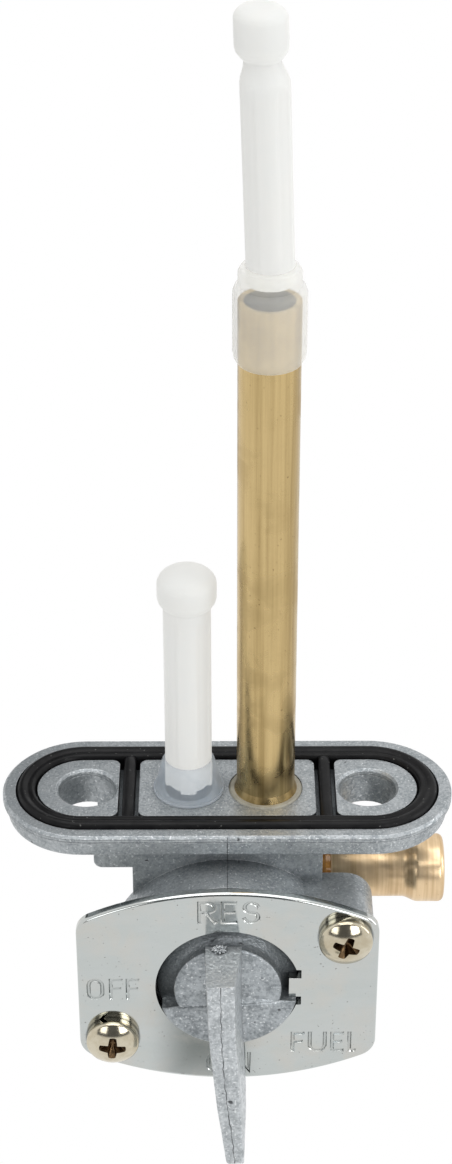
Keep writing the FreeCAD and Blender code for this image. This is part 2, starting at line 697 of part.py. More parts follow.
def rotor_lever():
    """Rotor disc, land, hub, stop segment and lever blade in one casting."""
    disc = tube_y(disc_radius, disc_back_y, disc_front_y)
    groove_y = (disc_back_y + disc_front_y) / 2
    groove = tube_y(disc_radius + cut_over, groove_y - ring_groove_width / 2,
                    groove_y + ring_groove_width / 2)
    groove = groove.cut(tube_y(disc_radius - ring_groove_depth, disc_back_y, disc_front_y))
    disc = disc.cut(groove)
    slot = wedge_y(slot_start, slot_start + slot_span, port_circle + slot_half_width,
                   disc_back_y - slot_depth, disc_back_y + cut_over)
    slot = slot.cut(tube_y(port_circle - slot_half_width, disc_back_y - slot_depth - cut_over,
                           disc_back_y + 2 * cut_over))
    disc = disc.cut(slot)
    land = tube_y(rotor_land_radius, disc_front_y, land_front_y)
    hub = tube_y(hub_radius, land_front_y, hub_front_y)
    hub = hub.makeFillet(casting_edge_round, edges_at(hub, lambda p: at(p.y, hub_front_y)))
    shoulder_drop = stop_tab_half_width + stop_gap + segment_radius * math.sin(math.radians(stop_overrun))
    below_shoulders = block(-segment_radius, segment_radius, segment_front_y, land_front_y,
                            -rotor_drop - segment_radius, -rotor_drop - shoulder_drop)
    segment = tube_y(segment_radius, land_front_y, segment_front_y).common(below_shoulders)
    segment = segment.makeFillet(casting_edge_round, edges_at(segment, lambda p: at(p.y, segment_front_y)))
    upright = disc.fuse([land, hub, segment, lever_blade()])
    return about_rotor(upright.removeSplitter(), stop_overrun)


def rotor_o_ring():
    """Ring seal in the rim groove, just clear of the chamber wall."""
    minor = (ring_groove_depth + running_gap) / 2 - face_gap / 2
    major = chamber_radius - face_gap - minor
    middle_y = (disc_back_y + disc_front_y) / 2
    return Part.makeTorus(major, minor, Vec(0, middle_y, -rotor_drop), Y_DIR)


def wave_washer():
    """Wave spring between the rotor disc and the plate."""
    inner = rotor_land_radius + loose_gap
    outer = chamber_radius - wave_washer_rim_gap
    back = disc_front_y - face_gap - wave_washer_thickness
    swing = (back - front_y - face_gap) / 2
    loops = []
    for radius in (inner, outer):
        spots = []
        for step in range(wave_points):
            angle = 2 * math.pi * step / wave_points
            wave = swing * (1 + math.cos(wave_count * angle))
            spots.append(Vec(radius * math.cos(angle), back - wave, -rotor_drop + radius * math.sin(angle)))
        curve = Part.BSplineCurve()
        curve.interpolate(Points=spots, PeriodicFlag=True)
        loops.append(curve.toShape())
    return Part.makeRuledSurface(loops[0], loops[1]).extrude(Vec(0, wave_washer_thickness, 0))


def face_plate():
    """Stamped plate with the round opening, the stop tab and its relief notches."""
    half_width = screw_offset_x + plate_side_margin
    fall = plate_arc_radius - math.sqrt(plate_arc_radius ** 2 - half_width ** 2)
    corner_z = plate_apex - fall
    middle_z = -rotor_drop - plate_drop
    low = middle_z - corner_z
    high = middle_z + corner_z
    y = plate_front_y
    top = Part.Arc(Vec(half_width, y, high), Vec(0, y, middle_z + plate_apex), Vec(-half_width, y, high))
    bottom = Part.Arc(Vec(-half_width, y, low), Vec(0, y, middle_z - plate_apex), Vec(half_width, y, low))
    left = Part.LineSegment(Vec(-half_width, y, high), Vec(-half_width, y, low))
    right = Part.LineSegment(Vec(half_width, y, low), Vec(half_width, y, high))
    outline = Part.Wire([piece.toShape() for piece in (top, left, bottom, right)])
    plate = Part.Face(outline).extrude(Vec(0, plate_thickness, 0))
    plate = plate.makeFillet(plate_corner, edges_at(plate, lambda p: at(abs(p.x), half_width)
                                                    and at(abs(p.z - middle_z), corner_z)))
    plate = plate.makeFillet(plate_edge_round, edges_at(plate, lambda p: at(p.y, y)))
    opening = tube_y(opening_radius, y - cut_over, front_y + cut_over)
    tab = block(stop_tab_radius, opening_radius + cut_over, y - cut_over, front_y + cut_over,
                -rotor_drop - stop_tab_half_width, -rotor_drop + stop_tab_half_width)
    opening = opening.cut(tab)
    notch_far = opening_radius + tab_notch_depth
    notches = block(stop_tab_radius, notch_far, y - cut_over, front_y + cut_over,
                    -rotor_drop - stop_tab_half_width - tab_notch_width,
                    -rotor_drop + stop_tab_half_width + tab_notch_width)
    notches = notches.makeFillet(tab_notch_round, edges_at(
        notches, lambda p: at(p.x, notch_far) and abs(p.z + rotor_drop) > stop_tab_half_width))
    tab_long = block(stop_tab_radius, notch_far + cut_over, y - cut_over, front_y + cut_over,
                     -rotor_drop - stop_tab_half_width, -rotor_drop + stop_tab_half_width)
    plate = plate.cut([opening, notches.cut(tab_long)])
    for x, z in screw_places():
        plate = plate.cut(tube_y(screw_clearance_radius, y - cut_over, front_y + cut_over, x, z))
    return plate


def cross_recess(tip_y, x, z):
    """Tapered cross for a screw driver, opening at tip_y."""
    arms = []
    for turn in (0, 90):
        side_z = -recess_width / 2
        outline = [Vec(-recess_reach, tip_y - cut_over, side_z), Vec(recess_reach, tip_y - cut_over, side_z),
                   Vec(recess_reach, tip_y, side_z), Vec(recess_floor_reach, tip_y + recess_depth, side_z),
                   Vec(-recess_floor_reach, tip_y + recess_depth, side_z), Vec(-recess_reach, tip_y, side_z)]
        arm = Part.Face(Part.makePolygon(outline + outline[:1])).extrude(Vec(0, 0, recess_width))
        arm.rotate(Vec(0, 0, 0), Y_DIR, turn)
        arms.append(arm.translated(Vec(x, 0, z)))
    return arms[0].fuse(arms[1])


def cover_screw(x, z, turn):
    """Pan head screw: domed head, cross recess and shank."""
    under_y = plate_front_y - lock_washer_thickness
    tip_y = under_y - screw_head_rim - screw_dome_height
    dome_radius = (screw_head_radius ** 2 + screw_dome_height ** 2) / (2 * screw_dome_height)
    head = tube_y(screw_head_radius, tip_y, under_y, x, z)
    head = head.common(Part.makeSphere(dome_radius, Vec(x, tip_y + dome_radius, z)))
    shank = tube_y(screw_radius, under_y, front_y + screw_length_in_body, x, z)
    recess = cross_recess(tip_y, x, z)
    recess.rotate(Vec(x, 0, z), Y_DIR, turn)
    return head.fuse(shank).cut(recess)


def lock_washer(x, z, turn):
    """Spring washer with its slanted split."""
    under_y = plate_front_y - lock_washer_thickness
    inner = screw_radius + loose_gap
    ring = tube_y(screw_head_radius, under_y, plate_front_y, x, z)
    ring = ring.cut(tube_y(inner, under_y - cut_over, plate_front_y + cut_over, x, z))
    split = block(inner - loose_gap, screw_head_radius + cut_over, under_y - cut_over,
                  plate_front_y + cut_over, -lock_washer_split / 2, lock_washer_split / 2)
    split.rotate(Vec(0, (under_y + plate_front_y) / 2, 0), X_DIR, lock_washer_slant)
    split.rotate(Vec(0, 0, 0), Y_DIR, turn)
    return ring.cut(split.translated(Vec(x, 0, z)))


def build():
    """Every piece by node name."""
    main_frame, main_gauze = main_strainer()
    reserve_frame, reserve_gauze = reserve_strainer()
    upper, lower = screw_places()
    return {
        "tap_body": tap_body(),
        "flange_seal": flange_seal(),
        "standpipe": standpipe(),
        "standpipe_ferrule": standpipe_ferrule(),
        "main_strainer_frame": main_frame,
        "main_strainer_mesh": main_gauze,
        "reserve_strainer_frame": reserve_frame,
        "reserve_strainer_mesh": reserve_gauze,
        "outlet_spigot": outlet_spigot(),
        "spigot_sealing_ring": spigot_sealing_ring(),
        "gallery_plug": gallery_plug(),
        "valve_gasket": valve_gasket(),
        "rotor_lever": rotor_lever(),
        "rotor_o_ring": rotor_o_ring(),
        "wave_washer": wave_washer(),
        "face_plate": face_plate(),
        "cover_screw_upper": cover_screw(upper[0], upper[1], upper_screw_turn),
        "cover_screw_lower": cover_screw(lower[0], lower[1], lower_screw_turn),
        "lock_washer_upper": lock_washer(upper[0], upper[1], upper_washer_turn),
        "lock_washer_lower": lock_washer(lower[0], lower[1], lower_washer_turn),
    }


os.makedirs("parts", exist_ok=True)
for node, shape in build().items():
    shape.exportStep("parts/" + node + ".step")
    print(node, "solids", len(shape.Solids), "valid", shape.isValid(), "volume", round(shape.Volume, 2))
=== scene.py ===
import bpy
import bmesh
import math
from mathutils import Matrix, Vector


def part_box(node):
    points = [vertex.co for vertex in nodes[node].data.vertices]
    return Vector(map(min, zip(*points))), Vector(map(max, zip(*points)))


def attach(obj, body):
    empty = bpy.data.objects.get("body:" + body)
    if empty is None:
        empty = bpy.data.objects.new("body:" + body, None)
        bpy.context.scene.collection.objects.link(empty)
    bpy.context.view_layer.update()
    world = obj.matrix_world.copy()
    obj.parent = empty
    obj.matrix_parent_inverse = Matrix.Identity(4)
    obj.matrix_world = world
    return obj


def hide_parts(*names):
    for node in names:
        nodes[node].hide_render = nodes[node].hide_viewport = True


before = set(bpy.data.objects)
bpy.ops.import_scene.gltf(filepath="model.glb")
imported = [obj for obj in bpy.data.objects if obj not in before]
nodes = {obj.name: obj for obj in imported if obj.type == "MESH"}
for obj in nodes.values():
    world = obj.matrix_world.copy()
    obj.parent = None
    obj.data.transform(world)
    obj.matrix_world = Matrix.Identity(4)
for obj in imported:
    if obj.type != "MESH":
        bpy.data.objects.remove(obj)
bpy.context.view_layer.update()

# Looks of a gravity fuel tap. Everything is in metres in the frame's own axes:
# the origin is the middle of the flange's top face, +Z up, the lever faces -Y.
# The dictionaries hold mm and degrees.

mm = 0.001
scene = bpy.context.scene
upwards = Vector((0, 0, 1))
forwards = Vector((0, -1, 0))
rightwards = Vector((1, 0, 0))
rotorHeight = -19.65     # of the lever's axis, which runs along Y


# Camera, light and floor

studio = {
    "cameraPlace": (-0.615, -239.773, 181.401),
    "lookDown": 32.36,
    "heading": -0.12,
    "roll": -0.073,
    "lens": 76.4,
    "clipStart": 10,
    "worldStrength": 0.50,
    "lampAim": (0, 0, -5),
    "floorDrop": 96,        # below the flange's top face
    "floorHalf": 1500,
    "floorColor": (0.86, 0.86, 0.85, 1),
}


def makeCamera():
    data = bpy.data.cameras.new("photoCamera")
    data.lens = studio["lens"]
    data.clip_start = studio["clipStart"] * mm
    camera = bpy.data.objects.new("photoCamera", data)
    scene.collection.objects.link(camera)
    turn = Matrix.Rotation(math.radians(studio["heading"]), 4, "Z")
    tilt = Matrix.Rotation(math.radians(90 - studio["lookDown"]), 4, "X")
    roll = Matrix.Rotation(math.radians(studio["roll"]), 4, "Z")
    place = Matrix.Translation(Vector(studio["cameraPlace"]) * mm)
    camera.matrix_world = place @ turn @ tilt @ roll
    scene.camera = camera


def makeWorld():
    world = bpy.data.worlds.new("studioWorld")
    scene.world = world
    world.use_nodes = True
    tree = world.node_tree
    background = tree.nodes["Background"]
    level = tree.nodes.new("ShaderNodeMapRange")
    level.inputs["To Min"].default_value = studio["worldStrength"]
    level.inputs["To Max"].default_value = 1.0
    tree.links.new(seenDirectly(tree), level.inputs["Value"])
    background.inputs["Color"].default_value = (1, 1, 1, 1)
    tree.links.new(level.outputs["Result"], background.inputs["Strength"])


lamps = [
    # name, place, width and height, watts
    ("overheadSoftbox", (0, -30, 420), (420, 300), 0.85),
    ("frontSoftbox", (10, -265, 335), (300, 60), 0.16),
    ("leftSoftbox", (-190, -350, 112), (130, 150), 0.15),
    ("rightSoftbox", (190, -350, 118), (150, 170), 0.42),
    ("rightEdgeLight", (360, -40, 90), (120, 260), 0.34),
]


def makeLamps():
    for name, place, size, watts in lamps:
        data = bpy.data.lights.new(name, "AREA")
        data.shape = "RECTANGLE"
        data.size = size[0] * mm
        data.size_y = size[1] * mm
        data.energy = watts
        lamp = bpy.data.objects.new(name, data)
        scene.collection.objects.link(lamp)
        lamp.location = Vector(place) * mm
        aim = Vector(studio["lampAim"]) * mm - lamp.location
        lamp.rotation_euler = aim.to_track_quat("-Z", "Y").to_euler()


def makeFloor():
    bm = bmesh.new()
    bmesh.ops.create_grid(bm, x_segments=4, y_segments=4, size=studio["floorHalf"] * mm)
    floor = newObject("floor", bm)
    floor.location.z = -studio["floorDrop"] * mm
    # The camera and shiny pieces see the floor as plain white, other rays see a lit floor
    material, tree, shader = newMaterial("paleFloor", Base_Color=studio["floorColor"], Roughness=0.8)
    white = tree.nodes.new("ShaderNodeEmission")
    mix = tree.nodes.new("ShaderNodeMixShader")
    tree.links.new(seenDirectly(tree), mix.inputs["Fac"])
    tree.links.new(shader.outputs[0], mix.inputs[1])
    tree.links.new(white.outputs[0], mix.inputs[2])
    tree.links.new(mix.outputs[0], tree.nodes["Material Output"].inputs["Surface"])
    floor.data.materials.append(material)


# Dark sheets that only shiny pieces see, glowing faintly in their own colour: painted reflections of
# shade
paintedReflectionCards = [
    # name, place, width and height, tilt (90 stands upright), color, and the share of the
    # half width over which its edges fade
    ("frontDarkCard", (0, -520, 265), (1100, 640), 90, (0.11, 0.115, 0.12, 1), 0.12),
    ("backDarkCard", (-64, 63, 49), (100, 90), 128, (0.05, 0.055, 0.06, 1), 0.30),
    ("lowDarkCard", (-3.4, -53.5, -65.0), (17, 18), 128, (0.34, 0.35, 0.34, 1), 0.90),
]


def makePaintedReflectionCard(name, place, size, tilt, color, fade):
    # Painted reflection: a faintly glowing dark sheet that only shiny pieces see
    bm = bmesh.new()
    bmesh.ops.create_grid(bm, x_segments=1, y_segments=1, size=0.5)
    card = newObject(name, bm)
    card.location = Vector(place) * mm
    card.rotation_euler = (math.radians(tilt), 0, 0)
    card.scale = (size[0] * mm, size[1] * mm, 1)
    card.visible_camera = False
    card.visible_diffuse = False
    card.visible_transmission = False
    card.visible_shadow = False
    material, tree, shader = newMaterial(
        name, Base_Color=(0, 0, 0, 1), Roughness=1.0, Emission_Color=color, Emission_Strength=1.0)
    x, y, _ = splitAxes(tree, objectPlace(tree))
    farthest = addMath(tree, "MAXIMUM", addMath(tree, "ABSOLUTE", x), addMath(tree, "ABSOLUTE", y))
    inside = addMath(tree, "SUBTRACT", 0.5, farthest)
    tree.links.new(addRange(tree, inside, 0.0, fade / 2), shader.inputs["Alpha"])
    card.data.materials.append(material)


# Small helpers for node trees

def addMath(tree, operation, first, second=None):
    node = tree.nodes.new("ShaderNodeMath")
    node.operation = operation
    for socket, value in zip(node.inputs, (first, second)):
        if value is None:
            continue
        if isinstance(value, (int, float)):
            socket.default_value = value
        else:
            tree.links.new(value, socket)
    return node.outputs[0]


def addProduct(tree, first, second):
    return addMath(tree, "MULTIPLY", first, second)


def addRange(tree, value, low, high, toLow=0.0, toHigh=1.0):
    node = tree.nodes.new("ShaderNodeMapRange")
    node.interpolation_type = "SMOOTHSTEP"
    tree.links.new(value, node.inputs["Value"])
    node.inputs["From Min"].default_value = low
    node.inputs["From Max"].default_value = high
    node.inputs["To Min"].default_value = toLow
    node.inputs["To Max"].default_value = toHigh
    return node.outputs["Result"]


def addMix(tree, mask, first, second):
    node = tree.nodes.new("ShaderNodeMix")
    node.data_type = "RGBA"
    tree.links.new(mask, node.inputs[0])
    for socket, value in ((node.inputs[6], first), (node.inputs[7], second)):
        if isinstance(value, tuple):
            socket.default_value = value if len(value) == 4 else value + (1,)
        else:
            tree.links.new(value, socket)
    return node.outputs[2]


def addNoise(tree, place, size, detail=3.0, roughness=0.55, distortion=0.0):
    node = tree.nodes.new("ShaderNodeTexNoise")
    tree.links.new(place, node.inputs["Vector"])
    if isinstance(size, (int, float)):
        node.inputs["Scale"].default_value = size
    else:
        tree.links.new(size, node.inputs["Scale"])
    node.inputs["Detail"].default_value = detail
    node.inputs["Roughness"].default_value = roughness
    node.inputs["Distortion"].default_value = distortion
    return node.outputs["Fac"]


def objectPlace(tree):
    return tree.nodes.new("ShaderNodeTexCoord").outputs["Object"]


def splitAxes(tree, place):
    node = tree.nodes.new("ShaderNodeSeparateXYZ")
    tree.links.new(place, node.inputs[0])
    return node.outputs


def stretched(tree, place, scale):
    node = tree.nodes.new("ShaderNodeVectorMath")
    node.operation = "MULTIPLY"
    tree.links.new(place, node.inputs[0])
    if isinstance(scale, tuple):
        node.inputs[1].default_value = scale
    else:
        tree.links.new(scale, node.inputs[1])
    return node.outputs[0]


def peaksAbove(tree, value, cut, gain):
    # 0 up to the cut, then rising quickly to 1
    rise = addMath(tree, "MAXIMUM", addMath(tree, "SUBTRACT", value, cut), 0.0)
    return addMath(tree, "MINIMUM", addProduct(tree, rise, gain), 1.0)


def seenDirectly(tree):
    # 1 for rays from the camera, from shiny pieces and through glass, 0 for the others
    path = tree.nodes.new("ShaderNodeLightPath")
    seen = addMath(tree, "MAXIMUM", path.outputs["Is Camera Ray"], path.outputs["Is Glossy Ray"])
    return addMath(tree, "MAXIMUM", seen, path.outputs["Is Transmission Ray"])


def newGroup(name, ins, outs):
    # ins holds the inputs' starting values; Normal is the only output that is a vector
    tree = bpy.data.node_groups.new(name, "ShaderNodeTree")
    for label, value in ins.items():
        kind = "NodeSocketVector" if isinstance(value, tuple) else "NodeSocketFloat"
        socket = tree.interface.new_socket(name=label, in_out="INPUT", socket_type=kind)
        socket.default_value = value
    for label in outs:
        kind = "NodeSocketVector" if label == "Normal" else "NodeSocketFloat"
        tree.interface.new_socket(name=label, in_out="OUTPUT", socket_type=kind)
    return tree, tree.nodes.new("NodeGroupInput").outputs, tree.nodes.new("NodeGroupOutput")


def feed(tree, node, **sources):
    for label, source in sources.items():
        tree.links.new(source, node.inputs[label.replace("_", " ")])


def useGroup(tree, group, **values):
    node = tree.nodes.new("ShaderNodeGroup")
    node.node_tree = group
    for label, value in values.items():
        node.inputs[label].default_value = value
    return node.outputs


def newMaterial(name, **fixed):
    material = bpy.data.materials.new(name)
    material.use_nodes = True
    tree = material.node_tree
    shader = tree.nodes["Principled BSDF"]
    for label, value in fixed.items():
        shader.inputs[label.replace("_", " ")].default_value = value
    return material, tree, shader


def addBump(tree, shader, height, depth, normal=None, strength=1.0):
    node = tree.nodes.new("ShaderNodeBump")
    node.inputs["Distance"].default_value = depth * mm
    node.inputs["Strength"].default_value = strength
    tree.links.new(height, node.inputs["Height"])
    if normal:
        tree.links.new(normal, node.inputs["Normal"])
    tree.links.new(node.outputs["Normal"], shader.inputs["Normal"])


# Surface effects that several materials share

def makeCastSkin():
    # Mottled die-cast skin with small dark pits, and bright grain-sized specks that are painted glints
    tree, start, end = newGroup(
        "castSkin",
        {"MottleSize": 420.0, "GrainSize": 3600.0, "Sparks": 0.5, "Pits": 0.3},
        ("Tone", "Height", "Spark", "Pit"))
    place = objectPlace(tree)
    mottle = addNoise(tree, place, start["MottleSize"], 4, 0.6)
    grain = addNoise(tree, place, start["GrainSize"], 2, 0.7)
    broad = addProduct(tree, mottle, 0.42)
    tone = addMath(tree, "ADD", broad, addProduct(tree, grain, 0.58))
    sparkSize = addProduct(tree, start["GrainSize"], 1.35)
    sparkCut = addMath(tree, "SUBTRACT", 0.80, addProduct(tree, start["Sparks"], 0.14))
    paintedGlint = peaksAbove(tree, addNoise(tree, place, sparkSize, 0, 0.5), sparkCut, 14)
    pitSize = addProduct(tree, start["GrainSize"], 0.42)
    pitNoise = addNoise(tree, stretched(tree, place, (1.0, 1.1, 0.9)), pitSize, 1, 0.5)
    pitCut = addMath(tree, "SUBTRACT", 0.83, addProduct(tree, start["Pits"], 0.12))
    pit = peaksAbove(tree, pitNoise, pitCut, 16)
    height = addMath(tree, "SUBTRACT", addMath(tree, "ADD", grain, mottle), pit)
    feed(tree, end, Tone=addRange(tree, tone, 0.34, 0.66), Height=height, Spark=paintedGlint, Pit=pit)
    return tree


def makeSoftEdge():
    # Rounded-over edges and a mask of where they are
    tree, start, end = newGroup("softEdge", {"Radius": 0.12 * mm}, ("Normal", "Edge"))
    bevel = tree.nodes.new("ShaderNodeBevel")
    bevel.samples = 4
    tree.links.new(start["Radius"], bevel.inputs["Radius"])
    geometry = tree.nodes.new("ShaderNodeNewGeometry")
    dot = tree.nodes.new("ShaderNodeVectorMath")
    dot.operation = "DOT_PRODUCT"
    tree.links.new(bevel.outputs["Normal"], dot.inputs[0])
    tree.links.new(geometry.outputs["Normal"], dot.inputs[1])
    edge = addRange(tree, dot.outputs["Value"], 0.995, 0.86)
    feed(tree, end, Normal=bevel.outputs["Normal"], Edge=edge)
    return tree


def makeStreaks():
    # Long marks from drawing, brushing or turning; Stretch sets how each axis is squeezed
    tree, start, end = newGroup(
        "streaks", {"Stretch": (1.0, 1.0, 0.03), "Size": 1500.0}, ("Streak", "Cloud", "Speck"))
    place = objectPlace(tree)
    drawn = stretched(tree, place, start["Stretch"])
    fine = addNoise(tree, drawn, start["Size"], 4, 0.6)
    broadSize = addProduct(tree, start["Size"], 0.22)
    broad = addProduct(tree, addNoise(tree, drawn, broadSize, 2, 0.5), 0.55)
    streak = addMath(tree, "ADD", addProduct(tree, fine, 0.45), broad)
    cloud = addNoise(tree, place, 190, 4, 0.6, 0.4)
    speck = addNoise(tree, place, 2600, 1, 0.5)
    feed(tree, end, Streak=addRange(tree, streak, 0.35, 0.65), Cloud=addRange(tree, cloud, 0.40, 0.68),
         Speck=addRange(tree, speck, 0.72, 0.80))
    return tree


def makeCavity():
    # How open a spot is: 1 in the open, less in corners and holes; the materials use it for painted shade
    tree, start, end = newGroup("cavityShade", {"Reach": 3.2 * mm}, ("Open",))
    around = tree.nodes.new("ShaderNodeAmbientOcclusion")
    around.samples = 8
    tree.links.new(start["Reach"], around.inputs["Distance"])
    tree.links.new(around.outputs["AO"], end.inputs["Open"])
    return tree


castSkin = makeCastSkin()
softEdge = makeSoftEdge()
streaks = makeStreaks()
cavityShade = makeCavity()
print("surface effects ready")


# Materials

# In the casting looks, hollow is the painted shade colour for corners and holes, and the brightest colour
# is for painted glints and edge highlights
bodyCasting = {
    "dark": (0.25, 0.275, 0.29), "light": (0.44, 0.465, 0.48), "paintedGlint": (0.80, 0.82, 0.83),
    "pit": (0.08, 0.085, 0.09), "hollow": (0.07, 0.08, 0.088), "metal": 0.65, "roughness": 0.40,
    "mottleSize": 430.0, "grainSize": 2700.0, "sparks": 0.75, "pits": 0.60,
}
leverCasting = {
    "dark": (0.21, 0.23, 0.243), "light": (0.42, 0.45, 0.47), "paintedGlint": (0.88, 0.90, 0.91),
    "pit": (0.09, 0.095, 0.10), "hollow": (0.08, 0.09, 0.098), "metal": 0.65, "roughness": 0.36,
    "mottleSize": 520.0, "grainSize": 2500.0, "sparks": 0.70, "pits": 0.75,
}
# The blade's casting is a lighter copy of the lever's, with more glints: it is the same casting, so the
# extra lightness is painted light
bladeCastingLit = dict(leverCasting, dark=(0.35, 0.375, 0.39), light=(0.60, 0.63, 0.65),
                    mottleSize=760.0, grainSize=2100.0, sparks=1.0, pits=0.8)
agedBrass = {
    "dark": (0.28, 0.19, 0.07), "light": (0.62, 0.465, 0.225), "stain": (0.13, 0.075, 0.025),
    "stretch": (1.0, 1.0, 0.02), "size": 1100.0, "stained": 0.12, "roughness": 0.30, "relief": 0.008,
}
turnedBrass = {
    "dark": (0.62, 0.44, 0.25), "light": (0.86, 0.66, 0.42), "stain": (0.42, 0.28, 0.14),
    "stretch": (1.0, 0.03, 0.03), "size": 2600.0, "stained": 0.15, "roughness": 0.36, "relief": 0.003,
}
# bright sets how far edges and grain specks are painted toward the glint colour: painted highlights and
# glints
castSurface = {
    "edgeRadius": 0.14, "bright": 0.55, "hollowReach": 3.2, "hollowShadeAmount": 0.85, "relief": 0.06,
}
rimLines = {
    "lines": [(-0.17, 0.07), (-0.53, 0.10)],   # height and half width of each flow line
    "wander": 0.5, "dark": 0.45, "depth": 0.8, "below": (-0.08, -0.2),
    "seamX": 0.05, "seamHalfWidth": 0.09, "seamWander": 0.12, "seamDark": 0.75,
    "seamBefore": (-6.6, -7.2),
}


def castMaterial(name, look, rim):
    material, tree, shader = newMaterial(name, Metallic=look["metal"], Roughness=look["roughness"])
    skin = useGroup(tree, castSkin, MottleSize=look["mottleSize"], GrainSize=look["grainSize"],
                    Sparks=look["sparks"], Pits=look["pits"])
    tone = skin["Tone"]
    edge = useGroup(tree, softEdge, Radius=castSurface["edgeRadius"] * mm)
    color = addMix(tree, tone, look["dark"], look["light"])
    # Edges and grain specks painted toward the glint colour: painted highlights and glints
    edgeHighlight = addProduct(tree, edge["Edge"], addRange(tree, tone, 0.2, 0.6))
    for mask in (edgeHighlight, skin["Spark"]):
        color = addMix(tree, addProduct(tree, mask, castSurface["bright"]), color, look["paintedGlint"])
    color = addMix(tree, skin["Pit"], color, look["pit"])
    # Corners, holes and spots under other parts darkened toward the hollow colour: painted shade
    depth = useGroup(tree, cavityShade, Reach=castSurface["hollowReach"] * mm)
    closed = addRange(tree, depth["Open"], 0.85, 0.15, 0.0, castSurface["hollowShadeAmount"])
    color = addMix(tree, closed, color, look["hollow"])
    height = skin["Height"]
    if rim:
        line, lineHeight = flangeLines(tree)
        color = addMix(tree, line, color, look["pit"])
        height = addMath(tree, "ADD", height, lineHeight)
    rough = addRange(tree, tone, 0.0, 1.0, look["roughness"] + 0.1, look["roughness"] - 0.08)
    feed(tree, shader, Base_Color=color, Roughness=rough)
    addBump(tree, shader, height, castSurface["relief"], edge["Normal"])
    return material


def flangeLines(tree):
    # Flow lines round the flange's rim and the mould's parting line down its front
    place = objectPlace(tree)
    x, y, z = splitAxes(tree, place)
    wander = addNoise(tree, stretched(tree, place, (1, 1, 0.2)), 160, 2)
    level = addMath(tree, "ADD", z, addProduct(tree, wander, rimLines["wander"] * mm))
    lineHeight = None
    mask = None
    for height, halfWidth in rimLines["lines"]:
        away = addMath(tree, "ABSOLUTE", addMath(tree, "SUBTRACT", level, height * mm))
        near = addRange(tree, away, halfWidth * mm, 0.0)
        lineHeight = near if lineHeight is None else addMath(tree, "ADD", lineHeight, near)
        mask = near if mask is None else addMath(tree, "MAXIMUM", mask, near)
    onRim = addRange(tree, z, rimLines["below"][0] * mm, rimLines["below"][1] * mm)
    swayed = addMath(tree, "ADD", x, addProduct(tree, wander, rimLines["seamWander"] * mm))
    away = addMath(tree, "ABSOLUTE", addMath(tree, "SUBTRACT", swayed, rimLines["seamX"] * mm))
    seam = addRange(tree, away, rimLines["seamHalfWidth"] * mm, 0.0)
    front = addRange(tree, y, rimLines["seamBefore"][0] * mm, rimLines["seamBefore"][1] * mm)
    seam = addProduct(tree, addProduct(tree, seam, front), onRim)
    mask = addProduct(tree, addProduct(tree, mask, onRim), rimLines["dark"])
    mask = addMath(tree, "MAXIMUM", mask, addProduct(tree, seam, rimLines["seamDark"]))
    lineHeight = addProduct(tree, addProduct(tree, lineHeight, onRim), -rimLines["depth"])
    return mask, addMath(tree, "SUBTRACT", lineHeight, seam)


def plateMaterial():
    material, tree, shader = newMaterial("zincPlatedSheet", Metallic=1.0, Roughness=0.12)
    marks = useGroup(tree, streaks, Stretch=(0.35, 1.0, 1.0), Size=900.0)
    edge = useGroup(tree, softEdge, Radius=0.03 * mm)
    color = addMix(tree, marks["Cloud"], (0.515, 0.545, 0.535), (0.555, 0.555, 0.525))
    brushed = addProduct(tree, marks["Streak"], 0.25)
    color = addMix(tree, brushed, color, (0.60, 0.62, 0.62))
    color = addMix(tree, marks["Speck"], color, (0.30, 0.30, 0.29))
    # Lighter along the edges
    lighterEdges = addProduct(tree, edge["Edge"], 0.4)
    color = addMix(tree, lighterEdges, color, (0.80, 0.81, 0.80))
    # The stamped letters' grooves darkened from ambient occlusion: painted shade
    groove = useGroup(tree, cavityShade, Reach=0.35 * mm)
    stamped = addRange(tree, groove["Open"], 0.93, 0.55, 0.0, 0.8)
    color = addMix(tree, stamped, color, (0.12, 0.13, 0.13))
    rough = addRange(tree, marks["Cloud"], 0.0, 1.0, 0.09, 0.15)
    feed(tree, shader, Base_Color=color, Roughness=rough)
    addBump(tree, shader, marks["Streak"], 0.002, edge["Normal"], 0.4)
    return material


def rubberMaterial():
    material, tree, shader = newMaterial("blackRubber", Roughness=0.42, Specular_IOR_Level=0.16)
    marks = useGroup(tree, streaks, Stretch=(1.0, 1.0, 1.0), Size=2200.0)
    color = addMix(tree, marks["Cloud"], (0.003, 0.003, 0.0035), (0.009, 0.009, 0.0095))
    dust = addProduct(tree, marks["Speck"], 0.5)
    color = addMix(tree, dust, color, (0.22, 0.22, 0.21))
    rough = addRange(tree, marks["Streak"], 0.0, 1.0, 0.34, 0.46)
    feed(tree, shader, Base_Color=color, Roughness=rough)
    addBump(tree, shader, marks["Streak"], 0.01, None, 0.4)
    return material


def brassMaterial(name, look):
    roughness = look["roughness"]
    material, tree, shader = newMaterial(name, Metallic=1.0, Roughness=roughness)
    marks = useGroup(tree, streaks, Stretch=look["stretch"], Size=look["size"])
    edge = useGroup(tree, softEdge, Radius=0.10 * mm)
    color = addMix(tree, marks["Streak"], look["dark"], look["light"])
    for mask, amount in ((marks["Cloud"], look["stained"]), (marks["Speck"], 0.6)):
        color = addMix(tree, addProduct(tree, mask, amount), color, look["stain"])
    rough = addRange(tree, marks["Cloud"], 0.0, 1.0, roughness - 0.06, roughness + 0.10)
    feed(tree, shader, Base_Color=color, Roughness=rough)
    addBump(tree, shader, marks["Streak"], look["relief"], edge["Normal"], 0.5)
    return material


